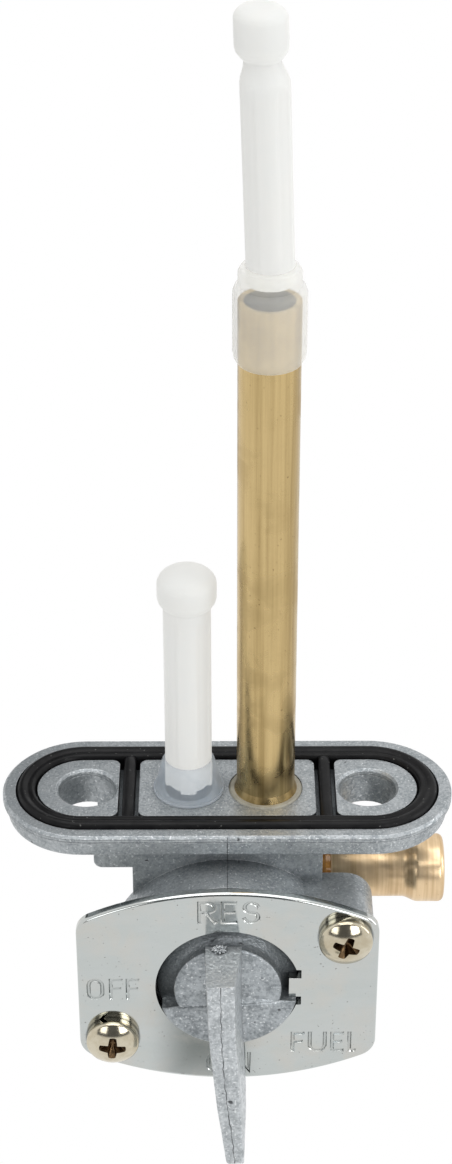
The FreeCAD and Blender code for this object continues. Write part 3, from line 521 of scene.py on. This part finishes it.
def nylonMaterial(name, color, tint, alpha, roughness, inner):
    # Milky moulded nylon; a lower alpha lets the pipe or the base below show through; its emission is a
    # painted glow
    material, tree, shader = newMaterial(
        name, Roughness=roughness, Alpha=alpha, Specular_IOR_Level=0.25,
        Subsurface_Weight=0.6, Subsurface_Radius=(1.0, 1.0, 0.95), Subsurface_Scale=2.5 * mm,
        Emission_Color=(0.98, 0.98, 0.95, 1), Emission_Strength=inner)
    marks = useGroup(tree, streaks, Stretch=(1.0, 1.0, 0.08), Size=700.0)
    feed(tree, shader, Base_Color=addMix(tree, marks["Cloud"], color, tint))
    addBump(tree, shader, marks["Streak"], 0.01, None, 0.3)
    return material


def gauzeMaterial():
    material, tree, shader = newMaterial("nylonGauze", Roughness=0.55)
    place = objectPlace(tree)
    threads = None
    for axis in ("X", "Z"):
        wave = tree.nodes.new("ShaderNodeTexWave")
        wave.bands_direction = axis
        wave.inputs["Scale"].default_value = 1500
        tree.links.new(place, wave.inputs["Vector"])
        band = wave.outputs["Fac"]
        threads = band if threads is None else addMath(tree, "MAXIMUM", threads, band)
    color = addMix(tree, threads, (0.72, 0.73, 0.72), (0.88, 0.88, 0.86))
    feed(tree, shader, Base_Color=color)
    addBump(tree, shader, threads, 0.03)
    return material


def plainMaterial(name, color, darker, metal, roughness, size):
    # One finish for the small and the inner pieces: a slightly cloudy single colour
    material, tree, shader = newMaterial(name, Metallic=metal, Roughness=roughness)
    marks = useGroup(tree, streaks, Stretch=(1.0, 1.0, 1.0), Size=size)
    feed(tree, shader, Base_Color=addMix(tree, marks["Streak"], darker, color))
    addBump(tree, shader, marks["Streak"], 0.006, None, 0.4)
    return material


materials = {
    # nylon: name, color, cloudy color, alpha, roughness, strength of its painted glow
    # plain: name, color, darker color, metal, roughness, size of its clouds
    "body": castMaterial("bodyCasting", bodyCasting, True),
    "lever": castMaterial("leverCasting", leverCasting, False),
    "blade": castMaterial("bladeCastingLit", bladeCastingLit, False),
    "plate": plateMaterial(),
    "rubber": rubberMaterial(),
    "agedBrass": brassMaterial("agedBrass", agedBrass),
    "turnedBrass": brassMaterial("turnedBrass", turnedBrass),
    "nylon": nylonMaterial("milkyNylon", (0.37, 0.37, 0.36), (0.36, 0.365, 0.36), 1.0, 0.50, 0.425),
    "collarNylon": nylonMaterial("collarNylon", (0.66, 0.65, 0.60), (0.60, 0.60, 0.58), 0.40, 0.34, 0.20),
    "thinNylon": nylonMaterial("thinNylon", (0.45, 0.51, 0.57), (0.33, 0.40, 0.48), 0.46, 0.30, 0.07),
    "gauze": gauzeMaterial(),
    "cream": plainMaterial("creamFerrule", (0.36, 0.345, 0.285), (0.22, 0.205, 0.16), 0.0, 0.35, 900.0),
    "amber": plainMaterial("amberSealant", (0.42, 0.20, 0.04), (0.20, 0.08, 0.015), 0.0, 0.12, 1500.0),
    "ball": plainMaterial("steelBall", (0.60, 0.61, 0.62), (0.50, 0.50, 0.51), 1.0, 0.15, 1500.0),
    "spring": plainMaterial("springSteel", (0.42, 0.43, 0.44), (0.33, 0.34, 0.35), 1.0, 0.30, 1500.0),
    "screw": plainMaterial("yellowZinc", (0.62, 0.57, 0.45), (0.50, 0.44, 0.32), 1.0, 0.14, 1300.0),
    # The parting line's darker colour is painted shade in its groove
    "seam": plainMaterial("partingLineShade", (0.26, 0.275, 0.285), (0.13, 0.14, 0.145), 0.6, 0.5, 900.0),
    # The cross recess's dark colour is painted shade
    "recess": plainMaterial("screwRecessShade", (0.16, 0.10, 0.05), (0.05, 0.035, 0.02), 1.0, 0.35, 2500.0),
}
print("materials ready:", len(materials))

nodeLooks = {
    "tap_body": "body", "rotor_lever": "lever", "face_plate": "plate", "flange_seal": "rubber",
    "valve_gasket": "rubber", "rotor_o_ring": "rubber", "standpipe": "agedBrass",
    "standpipe_ferrule": "cream", "outlet_spigot": "turnedBrass", "spigot_sealing_ring": "amber",
    "gallery_plug": "ball", "wave_washer": "spring", "main_strainer_frame": "nylon",
    "reserve_strainer_frame": "nylon", "main_strainer_mesh": "gauze", "reserve_strainer_mesh": "gauze",
    "cover_screw_upper": "screw", "cover_screw_lower": "screw", "lock_washer_upper": "screw",
    "lock_washer_lower": "screw",
}
for nodeName, look in nodeLooks.items():
    mesh = nodes[nodeName].data
    mesh.materials.clear()
    mesh.materials.append(materials[look])


# Helpers for meshes

def newObject(name, bm):
    mesh = bpy.data.meshes.new(name)
    bm.to_mesh(mesh)
    bm.free()
    made = bpy.data.objects.new(name, mesh)
    scene.collection.objects.link(made)
    return made


def addPiece(name, bm, look, body, smoothAngle):
    bmesh.ops.recalc_face_normals(bm, faces=bm.faces)
    piece = newObject(name, bm)
    piece.data.materials.append(materials[look])
    shadeByAngle(piece, smoothAngle)
    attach(piece, body)
    return piece


def shadeByAngle(piece, degrees):
    bpy.ops.object.select_all(action="DESELECT")
    piece.select_set(True)
    bpy.context.view_layer.objects.active = piece
    bpy.ops.object.shade_smooth_by_angle(angle=math.radians(degrees), keep_sharp_edges=False)


def ringOf(bm, spots):
    return [bm.verts.new(spot) for spot in spots]


def smooth(value):
    # Eases from 0 to 1
    value = max(0.0, min(1.0, value))
    return value * value * (3 - 2 * value)


def joinRings(bm, first, second):
    count = len(first)
    for k in range(count):
        after = (k + 1) % count
        bm.faces.new((first[k], first[after], second[after], second[k]))


def joinAll(bm, rings):
    for first, second in zip(rings, rings[1:]):
        joinRings(bm, first, second)


def closeEnds(bm, rings):
    bm.faces.new(rings[0])
    bm.faces.new(rings[-1])


def lathe(bm, profile, steps, centre, axis, side, shape=None):
    # profile holds (radius, distance along the axis) in mm; shape can change a radius with
    # its angle
    across = axis.cross(side)
    rings = []
    for radius, along in profile:
        spots = []
        for k in range(steps):
            angle = 2 * math.pi * k / steps
            reach = shape(radius, along, angle) if shape else radius
            outwards = side * math.cos(angle) + across * math.sin(angle)
            spots.append(centre + axis * (along * mm) + outwards * (reach * mm))
        rings.append(ringOf(bm, spots))
    joinAll(bm, rings)
    return rings


def weld(bm, distance):
    bmesh.ops.remove_doubles(bm, verts=bm.verts, dist=distance * mm)


def nodeMesh(name):
    # A CAD node's mesh with its seams closed
    bm = bmesh.new()
    bm.from_mesh(nodes[name].data)
    weld(bm, 0.001)
    return bm


def cutAway(piece, cutter):
    # Takes the cutter's volume out of the piece and drops the cutter
    cut = piece.modifiers.new("cut", "BOOLEAN")
    cut.operation = "DIFFERENCE"
    cut.solver = "EXACT"
    cut.object = cutter
    graph = bpy.context.evaluated_depsgraph_get()
    mesh = bpy.data.meshes.new_from_object(piece.evaluated_get(graph))
    piece.modifiers.clear()
    bpy.data.objects.remove(cutter)
    piece.data = mesh


# Strainers: moulded nylon columns with four ribs, a knob on top and a skirt or collar below

reserve = {
    "x": -4.65, "columnRadius": 2.8, "hollow": 0.16, "ribHalfWidth": 1.15,
    "columnBase": 1.0, "columnTop": 26.2, "headRadius": 3.48, "headTop": 31.2,
    "headCorner": 2.9, "headCrown": 1.9,
    "skirtRadius": 3.42, "skirtFoot": 4.08, "skirtTop": 4.7, "baseRadius": 4.3, "baseHeight": 0.35,
    "ribReach": 2.85, "coreRadius": 2.35,
}
mainOne = {
    "x": 4.65, "columnRadius": 2.65, "hollow": 0.13, "ribHalfWidth": 1.1,
    "columnBase": 67.4, "columnTop": 89.8, "headRadius": 2.84, "headTop": 97.98,
    "headCorner": 1.9, "headCrown": 1.52, "neckRadius": 1.96,
    "leanStart": 69.5, "lean": 2.0, "headShift": 0.25,
    "collarRadius": 4.08, "collarBottom": 58.0, "collarTop": 67.2, "shoulderRadius": 3.5,
    "shoulderTop": 69.4,
}


def ribbedRadius(settings, base, top):
    # Full radius on the four ribs, a little less between them, fading out at both ends;
    # inside a skirt the ribs stand further out and the core is thinner
    def radiusAt(radius, height, angle):
        fade = smooth((height - base) / 1.2) * smooth((top - height) / 1.2)
        offset = abs((math.degrees(angle) + 45) % 90 - 45)
        halfRib = math.degrees(settings["ribHalfWidth"] / settings["columnRadius"])
        between = smooth((offset - halfRib) / 7)
        plain = radius - settings["hollow"] * fade * between
        if "ribReach" not in settings:
            return plain
        inSkirt = smooth((settings["skirtTop"] - height) / 0.9)
        sharp = smooth((offset - halfRib * 0.86) / 3)
        ribbed = settings["ribReach"] * (1 - sharp) + settings["coreRadius"] * sharp
        return plain * (1 - inSkirt) + ribbed * inSkirt
    return radiusAt


def roundedKnob(settings, bottomRadius, bottom):
    # Half outline of a knob, from its neck up over the rounded top
    radius, top = settings["headRadius"], settings["headTop"]
    corner, crown = settings["headCorner"], settings["headCrown"]
    flare = radius - bottomRadius
    under = flare * 1.05
    points = [(bottomRadius, bottom), (bottomRadius + 0.35 * flare, bottom + 0.3 * under),
              (radius - 0.12, bottom + under), (radius, bottom + under + 0.5)]
    for step in range(9):
        angle = math.pi / 2 * step / 8
        across = radius - corner + corner * math.cos(angle)
        points.append((across, top - crown + crown * math.sin(angle)))
    points.append((0.02, top))
    return points


def makeReserveStrainer():
    centre = rightwards * (reserve["x"] * mm)
    bm = bmesh.new()
    radius = reserve["columnRadius"]
    base, top = reserve["columnBase"], reserve["columnTop"]
    profile = [(radius, base + (top - base) * k / 40) for k in range(41)]
    profile += roundedKnob(reserve, radius, top + 0.2)
    shape = ribbedRadius(reserve, reserve["skirtTop"], top - 0.5)
    rings = lathe(bm, profile, 96, centre, upwards, forwards, shape)
    closeEnds(bm, rings)
    column = addPiece("reserve_strainer_column", bm, "nylon", "body", 50)
    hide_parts("reserve_strainer_frame", "reserve_strainer_mesh")

    # Translucent skirt and seat ring round the column's foot
    bm = bmesh.new()
    top, around, foot = reserve["skirtTop"], reserve["skirtRadius"], reserve["skirtFoot"]
    seat, seatTop = reserve["baseRadius"], reserve["baseHeight"]
    profile = [(radius, top), (around - 0.25, top - 0.55), (around, top - 1.4), (foot, seatTop),
               (seat - 0.08, seatTop), (seat, seatTop - 0.1), (seat, 0.03), (radius, 0.03)]
    lathe(bm, profile, 96, centre, upwards, forwards)
    skirt = addPiece("reserve_strainer_skirt", bm, "thinNylon", "body", 30)


def makeMainStrainer():
    centre = rightwards * (mainOne["x"] * mm)
    bm = bmesh.new()
    radius = mainOne["columnRadius"]
    base, top = mainOne["columnBase"], mainOne["columnTop"]
    profile = [(radius, base + (top - base) * k / 36) for k in range(37)]
    neck = mainOne["neckRadius"]
    profile += [(radius - 0.1, top + 0.5), (neck + 0.19, top + 1.5), (neck, top + 2.2)]
    profile += roundedKnob(mainOne, neck, top + 2.4)
    shape = ribbedRadius(mainOne, mainOne["shoulderTop"], top)
    rings = lathe(bm, profile, 80, centre, upwards, forwards, shape)
    closeEnds(bm, rings)
    for vert in bm.verts:
        above = max(0.0, vert.co.z - mainOne["leanStart"] * mm)
        sway = above * math.tan(math.radians(mainOne["lean"]))
        sway += mainOne["headShift"] * mm * smooth((vert.co.z / mm - top) / 3)
        vert.co.x -= sway
    column = addPiece("main_strainer_column", bm, "nylon", "body", 50)
    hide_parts("main_strainer_frame", "main_strainer_mesh")

    # Clear collar and shoulder over the pipe's end
    bm = bmesh.new()
    collar, shoulder = mainOne["collarRadius"], mainOne["shoulderRadius"]
    bottom, middle, top = mainOne["collarBottom"], mainOne["collarTop"], mainOne["shoulderTop"]
    profile = [(3.55, bottom), (collar - 0.5, bottom), (collar - 0.1, bottom + 0.7),
               (collar, bottom + 1.3), (collar, middle - 0.9), (collar - 0.2, middle - 0.35),
               (shoulder, middle), (shoulder, top - 0.8), (shoulder - 0.3, top - 0.25), (radius, top)]
    lathe(bm, profile, 96, centre, upwards, forwards)
    cuff = addPiece("main_strainer_collar", bm, "collarNylon", "body", 30)


# Flange seal: a moulded ring with a double lip, and two bars across

seal = {
    "endX": 17.4, "outerRadius": 8.12, "width": 2.3, "bottom": -1.65,
    "barX": 11.9, "barHalfWidth": 0.72, "barEdge": 0.1, "barCrown": 0.42, "barDrop": 0.28,
    # distance across from the inner wall, and height
    "lips": [(0.0, -0.25), (0.10, 0.18), (0.32, 0.42), (0.55, 0.46), (0.78, 0.34), (0.95, 0.30),
             (1.15, 0.40), (1.45, 0.58), (1.75, 0.58), (2.02, 0.42), (2.2, 0.12), (2.3, -0.25)],
}


def sealLoop(radius, height):
    # Spots round a loop with half-round ends
    spots = []
    for side, start in ((1, -90), (-1, 90)):
        for k in range(41):
            angle = math.radians(start + 180 * k / 40)
            x = side * seal["endX"] + radius * math.cos(angle)
            spots.append(Vector((x, radius * math.sin(angle), height)) * mm)
    return spots


def makeSeal():
    bm = bmesh.new()
    inner = seal["outerRadius"] - seal["width"]
    outline = [(inner, seal["bottom"])]
    outline += [(inner + across, height) for across, height in seal["lips"]]
    outline += [(seal["outerRadius"], seal["bottom"])]
    rings = [ringOf(bm, sealLoop(radius, height)) for radius, height in outline]
    joinAll(bm, rings + rings[:1])
    ring = addPiece("seal_ring", bm, "rubber", "body", 60)
    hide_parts("flange_seal")
    for side in (-1, 1):
        bm = bmesh.new()
        half = seal["barHalfWidth"]
        reach = inner + 0.5
        sections = []
        for k in range(25):
            along = -reach + 2 * reach * k / 24
            endDrop = seal["barDrop"] * (abs(along) / reach) ** 8
            section = [(-half, seal["bottom"])]
            for step in range(9):
                angle = math.pi - math.pi * step / 8
                height = seal["barEdge"] + seal["barCrown"] * math.sin(angle) - endDrop
                section.append((half * math.cos(angle), height))
            section.append((half, seal["bottom"]))
            x = side * seal["barX"]
            spots = [Vector((x + across, along, height)) * mm for across, height in section]
            sections.append(ringOf(bm, spots))
        joinAll(bm, sections)
        closeEnds(bm, sections)
        bar = addPiece("seal_bar_" + ("left" if side < 0 else "right"), bm, "rubber", "body", 50)


# Face plate with the position words stamped into it

words = {
    "face": -14.0, "outlineStart": 12.5, "edgeRound": 0.38,
    # half width and depth of a stroke, just over the face and at its floor
    "wedge": [(0.27, -0.03), (0.13, 0.17)],
    # text, baseline z, cap height, then each letter's left x and width
    "places": [("RES", -9.45, 2.95, [(-3.35, 1.9), (-0.57, 1.55), (1.92, 1.75)]),
               ("OFF", -21.3, 2.85, [(-16.8, 1.65), (-14.1, 1.25), (-12.06, 1.25)]),
               ("FUEL", -29.85, 2.8, [(7.95, 1.25), (10.05, 1.85), (12.8, 1.25), (14.9, 0.65)]),
               ("ON", -33.2, 2.8, [(-2.4, 1.85), (0.75, 1.85)])],
}


def bow(centre, size, start, end, steps):
    # Points along part of an ellipse, in a letter's own unit square
    spots = []
    for k in range(steps + 1):
        angle = math.radians(start + (end - start) * k / steps)
        spots.append((centre[0] + size[0] * math.cos(angle), centre[1] + size[1] * math.sin(angle)))
    return spots


def letterStrokes(letter):
    # Single-stroke letters in a unit square
    if letter == "R":
        curve = bow((0.5, 0.75), (0.46, 0.25), 75, -75, 6)
        bowl = [(0.05, 1), (0.5, 1)] + curve + [(0.5, 0.5), (0.05, 0.5)]
        return [[(0, 0), (0, 1)], bowl, [(0.48, 0.48), (0.98, 0)]]
    if letter == "E":
        return [[(0.95, 1), (0, 1), (0, 0), (0.95, 0)], [(0, 0.52), (0.8, 0.52)]]
    if letter == "S":
        upper = bow((0.5, 0.75), (0.46, 0.25), 20, 230, 9)
        lower = bow((0.5, 0.26), (0.48, 0.26), 50, -160, 9)
        return [upper + lower]
    if letter == "O":
        upper = bow((0.5, 0.70), (0.5, 0.30), 0, 180, 10)
        return [upper + bow((0.5, 0.30), (0.5, 0.30), 180, 360, 10)]
    if letter == "F":
        return [[(0.95, 1), (0, 1), (0, 0)], [(0, 0.52), (0.8, 0.52)]]
    if letter == "U":
        return [[(0, 1)] + bow((0.5, 0.30), (0.5, 0.30), 180, 360, 12) + [(1, 1)]]
    if letter == "L":
        return [[(0, 1), (0, 0), (0.9, 0)]]
    return [[(0, 0), (0, 1), (1, 0), (1, 1)]]


def strokeCutter(path, closed):
    # Sweeps a wedge-shaped section along a letter's stroke; path holds (x, z) in mm
    count = len(path)
    sections = []
    bm = bmesh.new()
    for k, here in enumerate(path):
        before = path[k - 1] if k or closed else None
        after = path[(k + 1) % count] if k < count - 1 or closed else None
        steps = []
        for start, end in ((before, here), (here, after)):
            if start and end:
                step = Vector((end[0] - start[0], end[1] - start[1]))
                steps.append(step.normalized())
        along = (steps[0] + steps[-1]).normalized()
        across = Vector((-along.y, along.x)) / max(0.5, along.dot(steps[0]))
        spots = []
        for reach, depth in words["wedge"]:
            push = Vector((0, 0))
            if len(steps) == 1:
                push = along * reach * (1 if k else -1)
            for side in ((1, -1) if depth < 0 else (-1, 1)):
                spot = Vector(here) + across * side * reach + push
                spots.append(Vector((spot.x, words["face"] + depth, spot.y)) * mm)
        sections.append(ringOf(bm, spots))
    joinAll(bm, sections)
    if closed:
        joinRings(bm, sections[-1], sections[0])
    else:
        closeEnds(bm, sections)
    bmesh.ops.recalc_face_normals(bm, faces=bm.faces)
    return newObject("strokeCutter", bm)


def makeStampedPlate():
    # Only the outline's front edge is rounded, not the edges of the screw and lever holes
    bm = nodeMesh("face_plate")
    rim = []
    for edge in bm.edges:
        sides = [abs(face.normal.y) for face in edge.link_faces]
        middle = (edge.verts[0].co + edge.verts[1].co) / 2 / mm
        gaps = [math.hypot(middle.x - x, middle.z - z) for _, x, z, _ in screws["places"]]
        outer = math.hypot(middle.x, middle.z - rotorHeight) > words["outlineStart"]
        turns = min(sides) < 0.5 and max(sides) > 0.95
        if outer and turns and min(gaps) > screws["holeZone"] and middle.y < words["face"] + 0.05:
            rim.append(edge)
    rounding = words["edgeRound"] * mm
    bmesh.ops.bevel(bm, geom=rim, offset=rounding, segments=4, profile=0.5, affect="EDGES")
    plate = newObject("face_plate_stamped", bm)
    cutters = []
    for text, base, capHeight, letterPlaces in words["places"]:
        for letter, (left, wide) in zip(text, letterPlaces):
            for stroke in letterStrokes(letter):
                path = [(left + u * wide, base + v * capHeight) for u, v in stroke]
                cutters.append(strokeCutter(path, letter == "O"))
    for cutter in cutters:
        cutAway(plate, cutter)
        bm = bmesh.new()
        bm.from_mesh(plate.data)
        weld(bm, 0.0005)
        bm.to_mesh(plate.data)
        bm.free()
    plate.data.materials.clear()
    plate.data.materials.append(materials["plate"])
    shadeByAngle(plate, 30)
    for face in plate.data.polygons:
        if abs(face.normal.y) > 0.9999:
            face.use_smooth = False
    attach(plate, "body")
    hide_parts("face_plate")
    print("face plate stamped, faces:", len(plate.data.polygons))


# Cover screws: domed heads with a cross recess

screws = {
    "headRadius": 3.2, "rim": 0.45, "dome": 1.2, "seat": 14.7, "holeZone": 3,
    "armReach": 1.78, "armHalfWidth": 0.50, "neckRadius": 0.74, "recessDepth": 1.3,
    # name, x, z and how far the recess is turned
    "places": [("upper", 14.05, -11.75, 22), ("lower", -14.05, -27.55, 4)],
}


def crossOutline(reach, half, inner, grow):
    # Cross with rounded arm ends and filleted inner corners, as (u, v) points
    arm = []
    for step in range(5):
        angle = math.radians(-60 + 120 * step / 4)
        u = reach - half * 0.5 + half * 0.5 * math.cos(angle)
        arm.append((u, half * math.sin(angle) / math.sin(math.radians(60)) * 0.9))
    diagonal = inner * math.cos(math.radians(45)) * 1.06
    arm += [(inner * 1.35, half * 1.02), (diagonal, diagonal), (half * 1.02, inner * 1.35)]
    return [turnedSpot(u * grow, v * grow, turn) for turn in (0, 90, 180, 270) for u, v in arm]


def turnedSpot(u, v, degrees):
    angle = math.radians(degrees)
    return (u * math.cos(angle) - v * math.sin(angle), u * math.sin(angle) + v * math.cos(angle))


def makeScrew(name, x, z, turn):
    centre = Vector((x, 0, z)) * mm
    radius, rim, dome, seat = (screws[part] for part in ("headRadius", "rim", "dome", "seat"))
    top = seat + rim + dome
    ball = (radius ** 2 + dome ** 2) / (2 * dome)
    profile = [(0.02, seat), (radius - 0.12, seat), (radius, seat + 0.1), (radius, seat + rim - 0.08)]
    widest = math.asin((radius - 0.05) / ball)
    for step in range(15):
        angle = widest * (1 - step / 14)
        profile.append((max(0.02, ball * math.sin(angle)), top - ball + ball * math.cos(angle)))
    bm = bmesh.new()
    rings = lathe(bm, profile, 72, centre, forwards, rightwards)
    closeEnds(bm, rings)
    head = addPiece("screw_head_" + name, bm, "screw", "body", 40)
    # The recess faces get a dark material: painted shade
    head.data.materials.append(materials["recess"])

    # Tapered cross cutter, turned as the screw stands
    bm = bmesh.new()
    arm, half, neck = screws["armReach"], screws["armHalfWidth"], screws["neckRadius"]
    deep = screws["recessDepth"]
    loops = []
    for grow, drop in ((1.12, -0.6), (1.0, 0.12), (0.62, deep * 0.7), (0.25, deep)):
        spots = []
        for u, v in crossOutline(arm, half, neck, grow):
            u, v = turnedSpot(u, v, -turn)
            spots.append(Vector((x + u, drop - top, z + v)) * mm)
        loops.append(ringOf(bm, spots))
    joinAll(bm, loops)
    closeEnds(bm, loops)
    bmesh.ops.recalc_face_normals(bm, faces=bm.faces)
    cutter = newObject("crossCutter", bm)
    cutter.data.materials.append(materials["screw"])
    cutter.data.materials.append(materials["recess"])
    for face in cutter.data.polygons:
        face.material_index = 1
    cutAway(head, cutter)
    shadeByAngle(head, 32)
    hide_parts("cover_screw_" + name)


# Lever: the hub without its blade, then the cast blade standing square out of it

blade = {
    "frontReach": 7.85, "hubFace": 1.0, "rootReach": 0.5, "topRise": 6.9, "heelTop": -7.3,
    "heel": (2.0, -9.3), "backEnd": (3.6, -21.2), "tipRise": -22.2, "tipCorner": 1.0,
    "topRound": 0.12, "frontCorner": 0.28, "leftDraft": 0.14,
    "seamWidth": 0.07, "seamDepth": 0.07, "seamStep": 0.02,
    # rise, left edge, seam, right edge of the front, right edge at the back
    "edges": [(6.9, -2.54, -0.87, 0.83, 1.66), (-1.2, -2.30, -0.77, 0.96, 1.72),
              (-7.1, -1.79, -0.47, 1.29, 1.90), (-12.9, -1.27, 0.0, 1.57, 2.20),
              (-16.9, -0.76, 0.46, 1.80, 2.25), (-20.4, -0.36, 0.74, 1.97, 2.15),
              (-22.2, -0.12, 0.85, 1.98, 2.08)],
}
gate = {"centre": (-1.0, -15.35, -12.5), "size": (0.75, 0.5, 0.42), "rough": 0.5}


def bladeEdges(rise):
    table = blade["edges"]
    for upper, lower in zip(table, table[1:]):
        if rise >= lower[0]:
            share = (upper[0] - rise) / (upper[0] - lower[0])
            return [a + (b - a) * share for a, b in zip(upper[1:], lower[1:])]
    return table[-1][1:]


def seamPlace(rise):
    # The parting line wanders a little on its way down the blade
    wander = 0.05 * math.sin(rise * 2.3) + 0.04 * math.sin(rise * 5.7 + 1)
    return bladeEdges(rise)[1] + wander


def bladeReach(rise):
    # How far the blade's back and front stand from the plate's face at a height
    heelReach, heelRise = blade["heel"]
    endReach, endRise = blade["backEnd"]
    if rise > heelRise:
        share = max(0.0, (blade["heelTop"] - rise) / (blade["heelTop"] - heelRise))
        back = blade["rootReach"] + (heelReach - blade["rootReach"]) * share
    else:
        back = heelReach + (endReach - heelReach) * (heelRise - rise) / (heelRise - endRise)
    corner = blade["tipCorner"]
    below = max(0.0, blade["tipRise"] + corner - rise)
    trim = corner - math.sqrt(max(0.0, corner ** 2 - below ** 2))
    return back + trim, blade["frontReach"] - trim


def makeLever():
    # The hub keeps the CAD node's own shape up to where the blade starts, in front of the plate
    bm = nodeMesh("rotor_lever")
    cut = forwards * ((blade["hubFace"] - words["face"]) * mm)
    parts = bm.verts[:] + bm.edges[:] + bm.faces[:]
    bmesh.ops.bisect_plane(bm, geom=parts, plane_co=cut, plane_no=forwards, clear_outer=True)
    bmesh.ops.holes_fill(bm, edges=[edge for edge in bm.edges if edge.is_boundary], sides=0)
    hub = addPiece("lever_hub", bm, "lever", "lever", 30)
    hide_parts("rotor_lever")

    top, tip, corner = blade["topRise"], blade["tipRise"], blade["tipCorner"]
    shoulder, seamWidth, step = top - blade["topRound"], blade["seamWidth"], blade["seamStep"]
    rises = [top] + [shoulder - (shoulder - tip - corner) * k / 44 for k in range(45)]
    rises += [tip + corner - corner * math.sin(math.radians(10 * k)) for k in range(1, 9)]
    bm = bmesh.new()
    rings = []
    for rise in rises:
        left, _, right, outer = bladeEdges(rise)
        seamX = seamPlace(rise)
        back, front = bladeReach(rise)
        bend = blade["frontCorner"] + (blade["topRound"] if rise == top else 0.0)
        section = [(left - blade["leftDraft"], back), (left, front - bend),
                   (left + bend * 0.35, front - bend * 0.3), (left + bend, front),
                   (seamX - seamWidth, front), (seamX, front - blade["seamDepth"]),
                   (seamX + seamWidth, front - step), (right - bend, front - step),
                   (right - bend * 0.3, front - bend * 0.35), (right, front - bend), (outer, back)]
        spots = [Vector((x, words["face"] - reach, rotorHeight + rise)) * mm for x, reach in section]
        rings.append(ringOf(bm, spots))
    joinAll(bm, rings)
    closeEnds(bm, rings)
    piece = addPiece("lever_blade", bm, "blade", "lever", 40)
    # The parting line's faces get a darker material: painted shade in its groove
    piece.data.materials.append(materials["seam"])
    for face in piece.data.polygons:
        x, y, z = face.center / mm
        rise = z - rotorHeight
        onFront = words["face"] - y > bladeReach(rise)[1] - 0.3
        if onFront and abs(x - seamPlace(rise)) < seamWidth:
            face.material_index = 1

    # Broken-off gate at the top of the blade's root
    bm = bmesh.new()
    bmesh.ops.create_icosphere(bm, subdivisions=4, radius=1.0)
    for vert in bm.verts:
        way = vert.co.normalized()
        ripple = math.sin(way.x * 9 + 1) * math.sin(way.y * 11) * math.sin(way.z * 7 + 2)
        ripple += 0.5 * math.sin(way.x * 23) * math.cos(way.y * 19 + 1)
        reach = 1 + gate["rough"] * ripple
        spot = [c + size * d * reach for c, size, d in zip(gate["centre"], gate["size"], way)]
        vert.co = Vector(spot) * mm
    stub = addPiece("gate_mark", bm, "blade", "lever", 60)


# Hose spigot: turned brass with a softly rising bead

spigot = {
    "centre": (0, 4.2, -15.85), "shoulder": 12.92, "stubRadius": 2.9, "radius": 3.6, "bore": 2.4,
    "riseStart": 21.9, "riseEnd": 23.9, "bead": 4.25, "nose": 0.7,
}


def makeSpigot():
    low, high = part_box("outlet_spigot")
    start, end = low.x / mm, high.x / mm
    nose, bead, radius = spigot["nose"], spigot["bead"], spigot["radius"]
    shoulder = spigot["shoulder"]
    profile = [(spigot["bore"], start), (spigot["stubRadius"], start), (spigot["stubRadius"], shoulder),
               (radius - 0.25, shoulder), (radius - 0.07, shoulder + 0.07), (radius, shoulder + 0.25)]
    for k in range(13):
        share = k / 12
        along = spigot["riseStart"] + (spigot["riseEnd"] - spigot["riseStart"]) * share
        profile.append((radius + (bead - radius) * smooth(share), along))
    for k in range(9):
        angle = math.radians(90 * k / 8)
        profile.append((bead - nose + nose * math.cos(angle), end - nose + nose * math.sin(angle)))
    profile.append((spigot["bore"], end))
    bm = bmesh.new()
    rings = lathe(bm, profile, 96, Vector(spigot["centre"]) * mm, rightwards, upwards)
    joinRings(bm, rings[-1], rings[0])
    piece = addPiece("hose_spigot", bm, "turnedBrass", "body", 40)
    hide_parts("outlet_spigot")


makeCamera()
makeWorld()
makeLamps()
makeFloor()
for card in paintedReflectionCards:
    makePaintedReflectionCard(*card)
print("studio ready")
makeReserveStrainer()
makeMainStrainer()
print("strainers ready")
makeSeal()
print("seal ready")
makeStampedPlate()
for screwName, screwX, screwZ, screwTurn in screws["places"]:
    makeScrew(screwName, screwX, screwZ, screwTurn)
print("screws ready")
makeLever()
makeSpigot()
print("lever and spigot ready")

scene.view_settings.view_transform = "Standard"
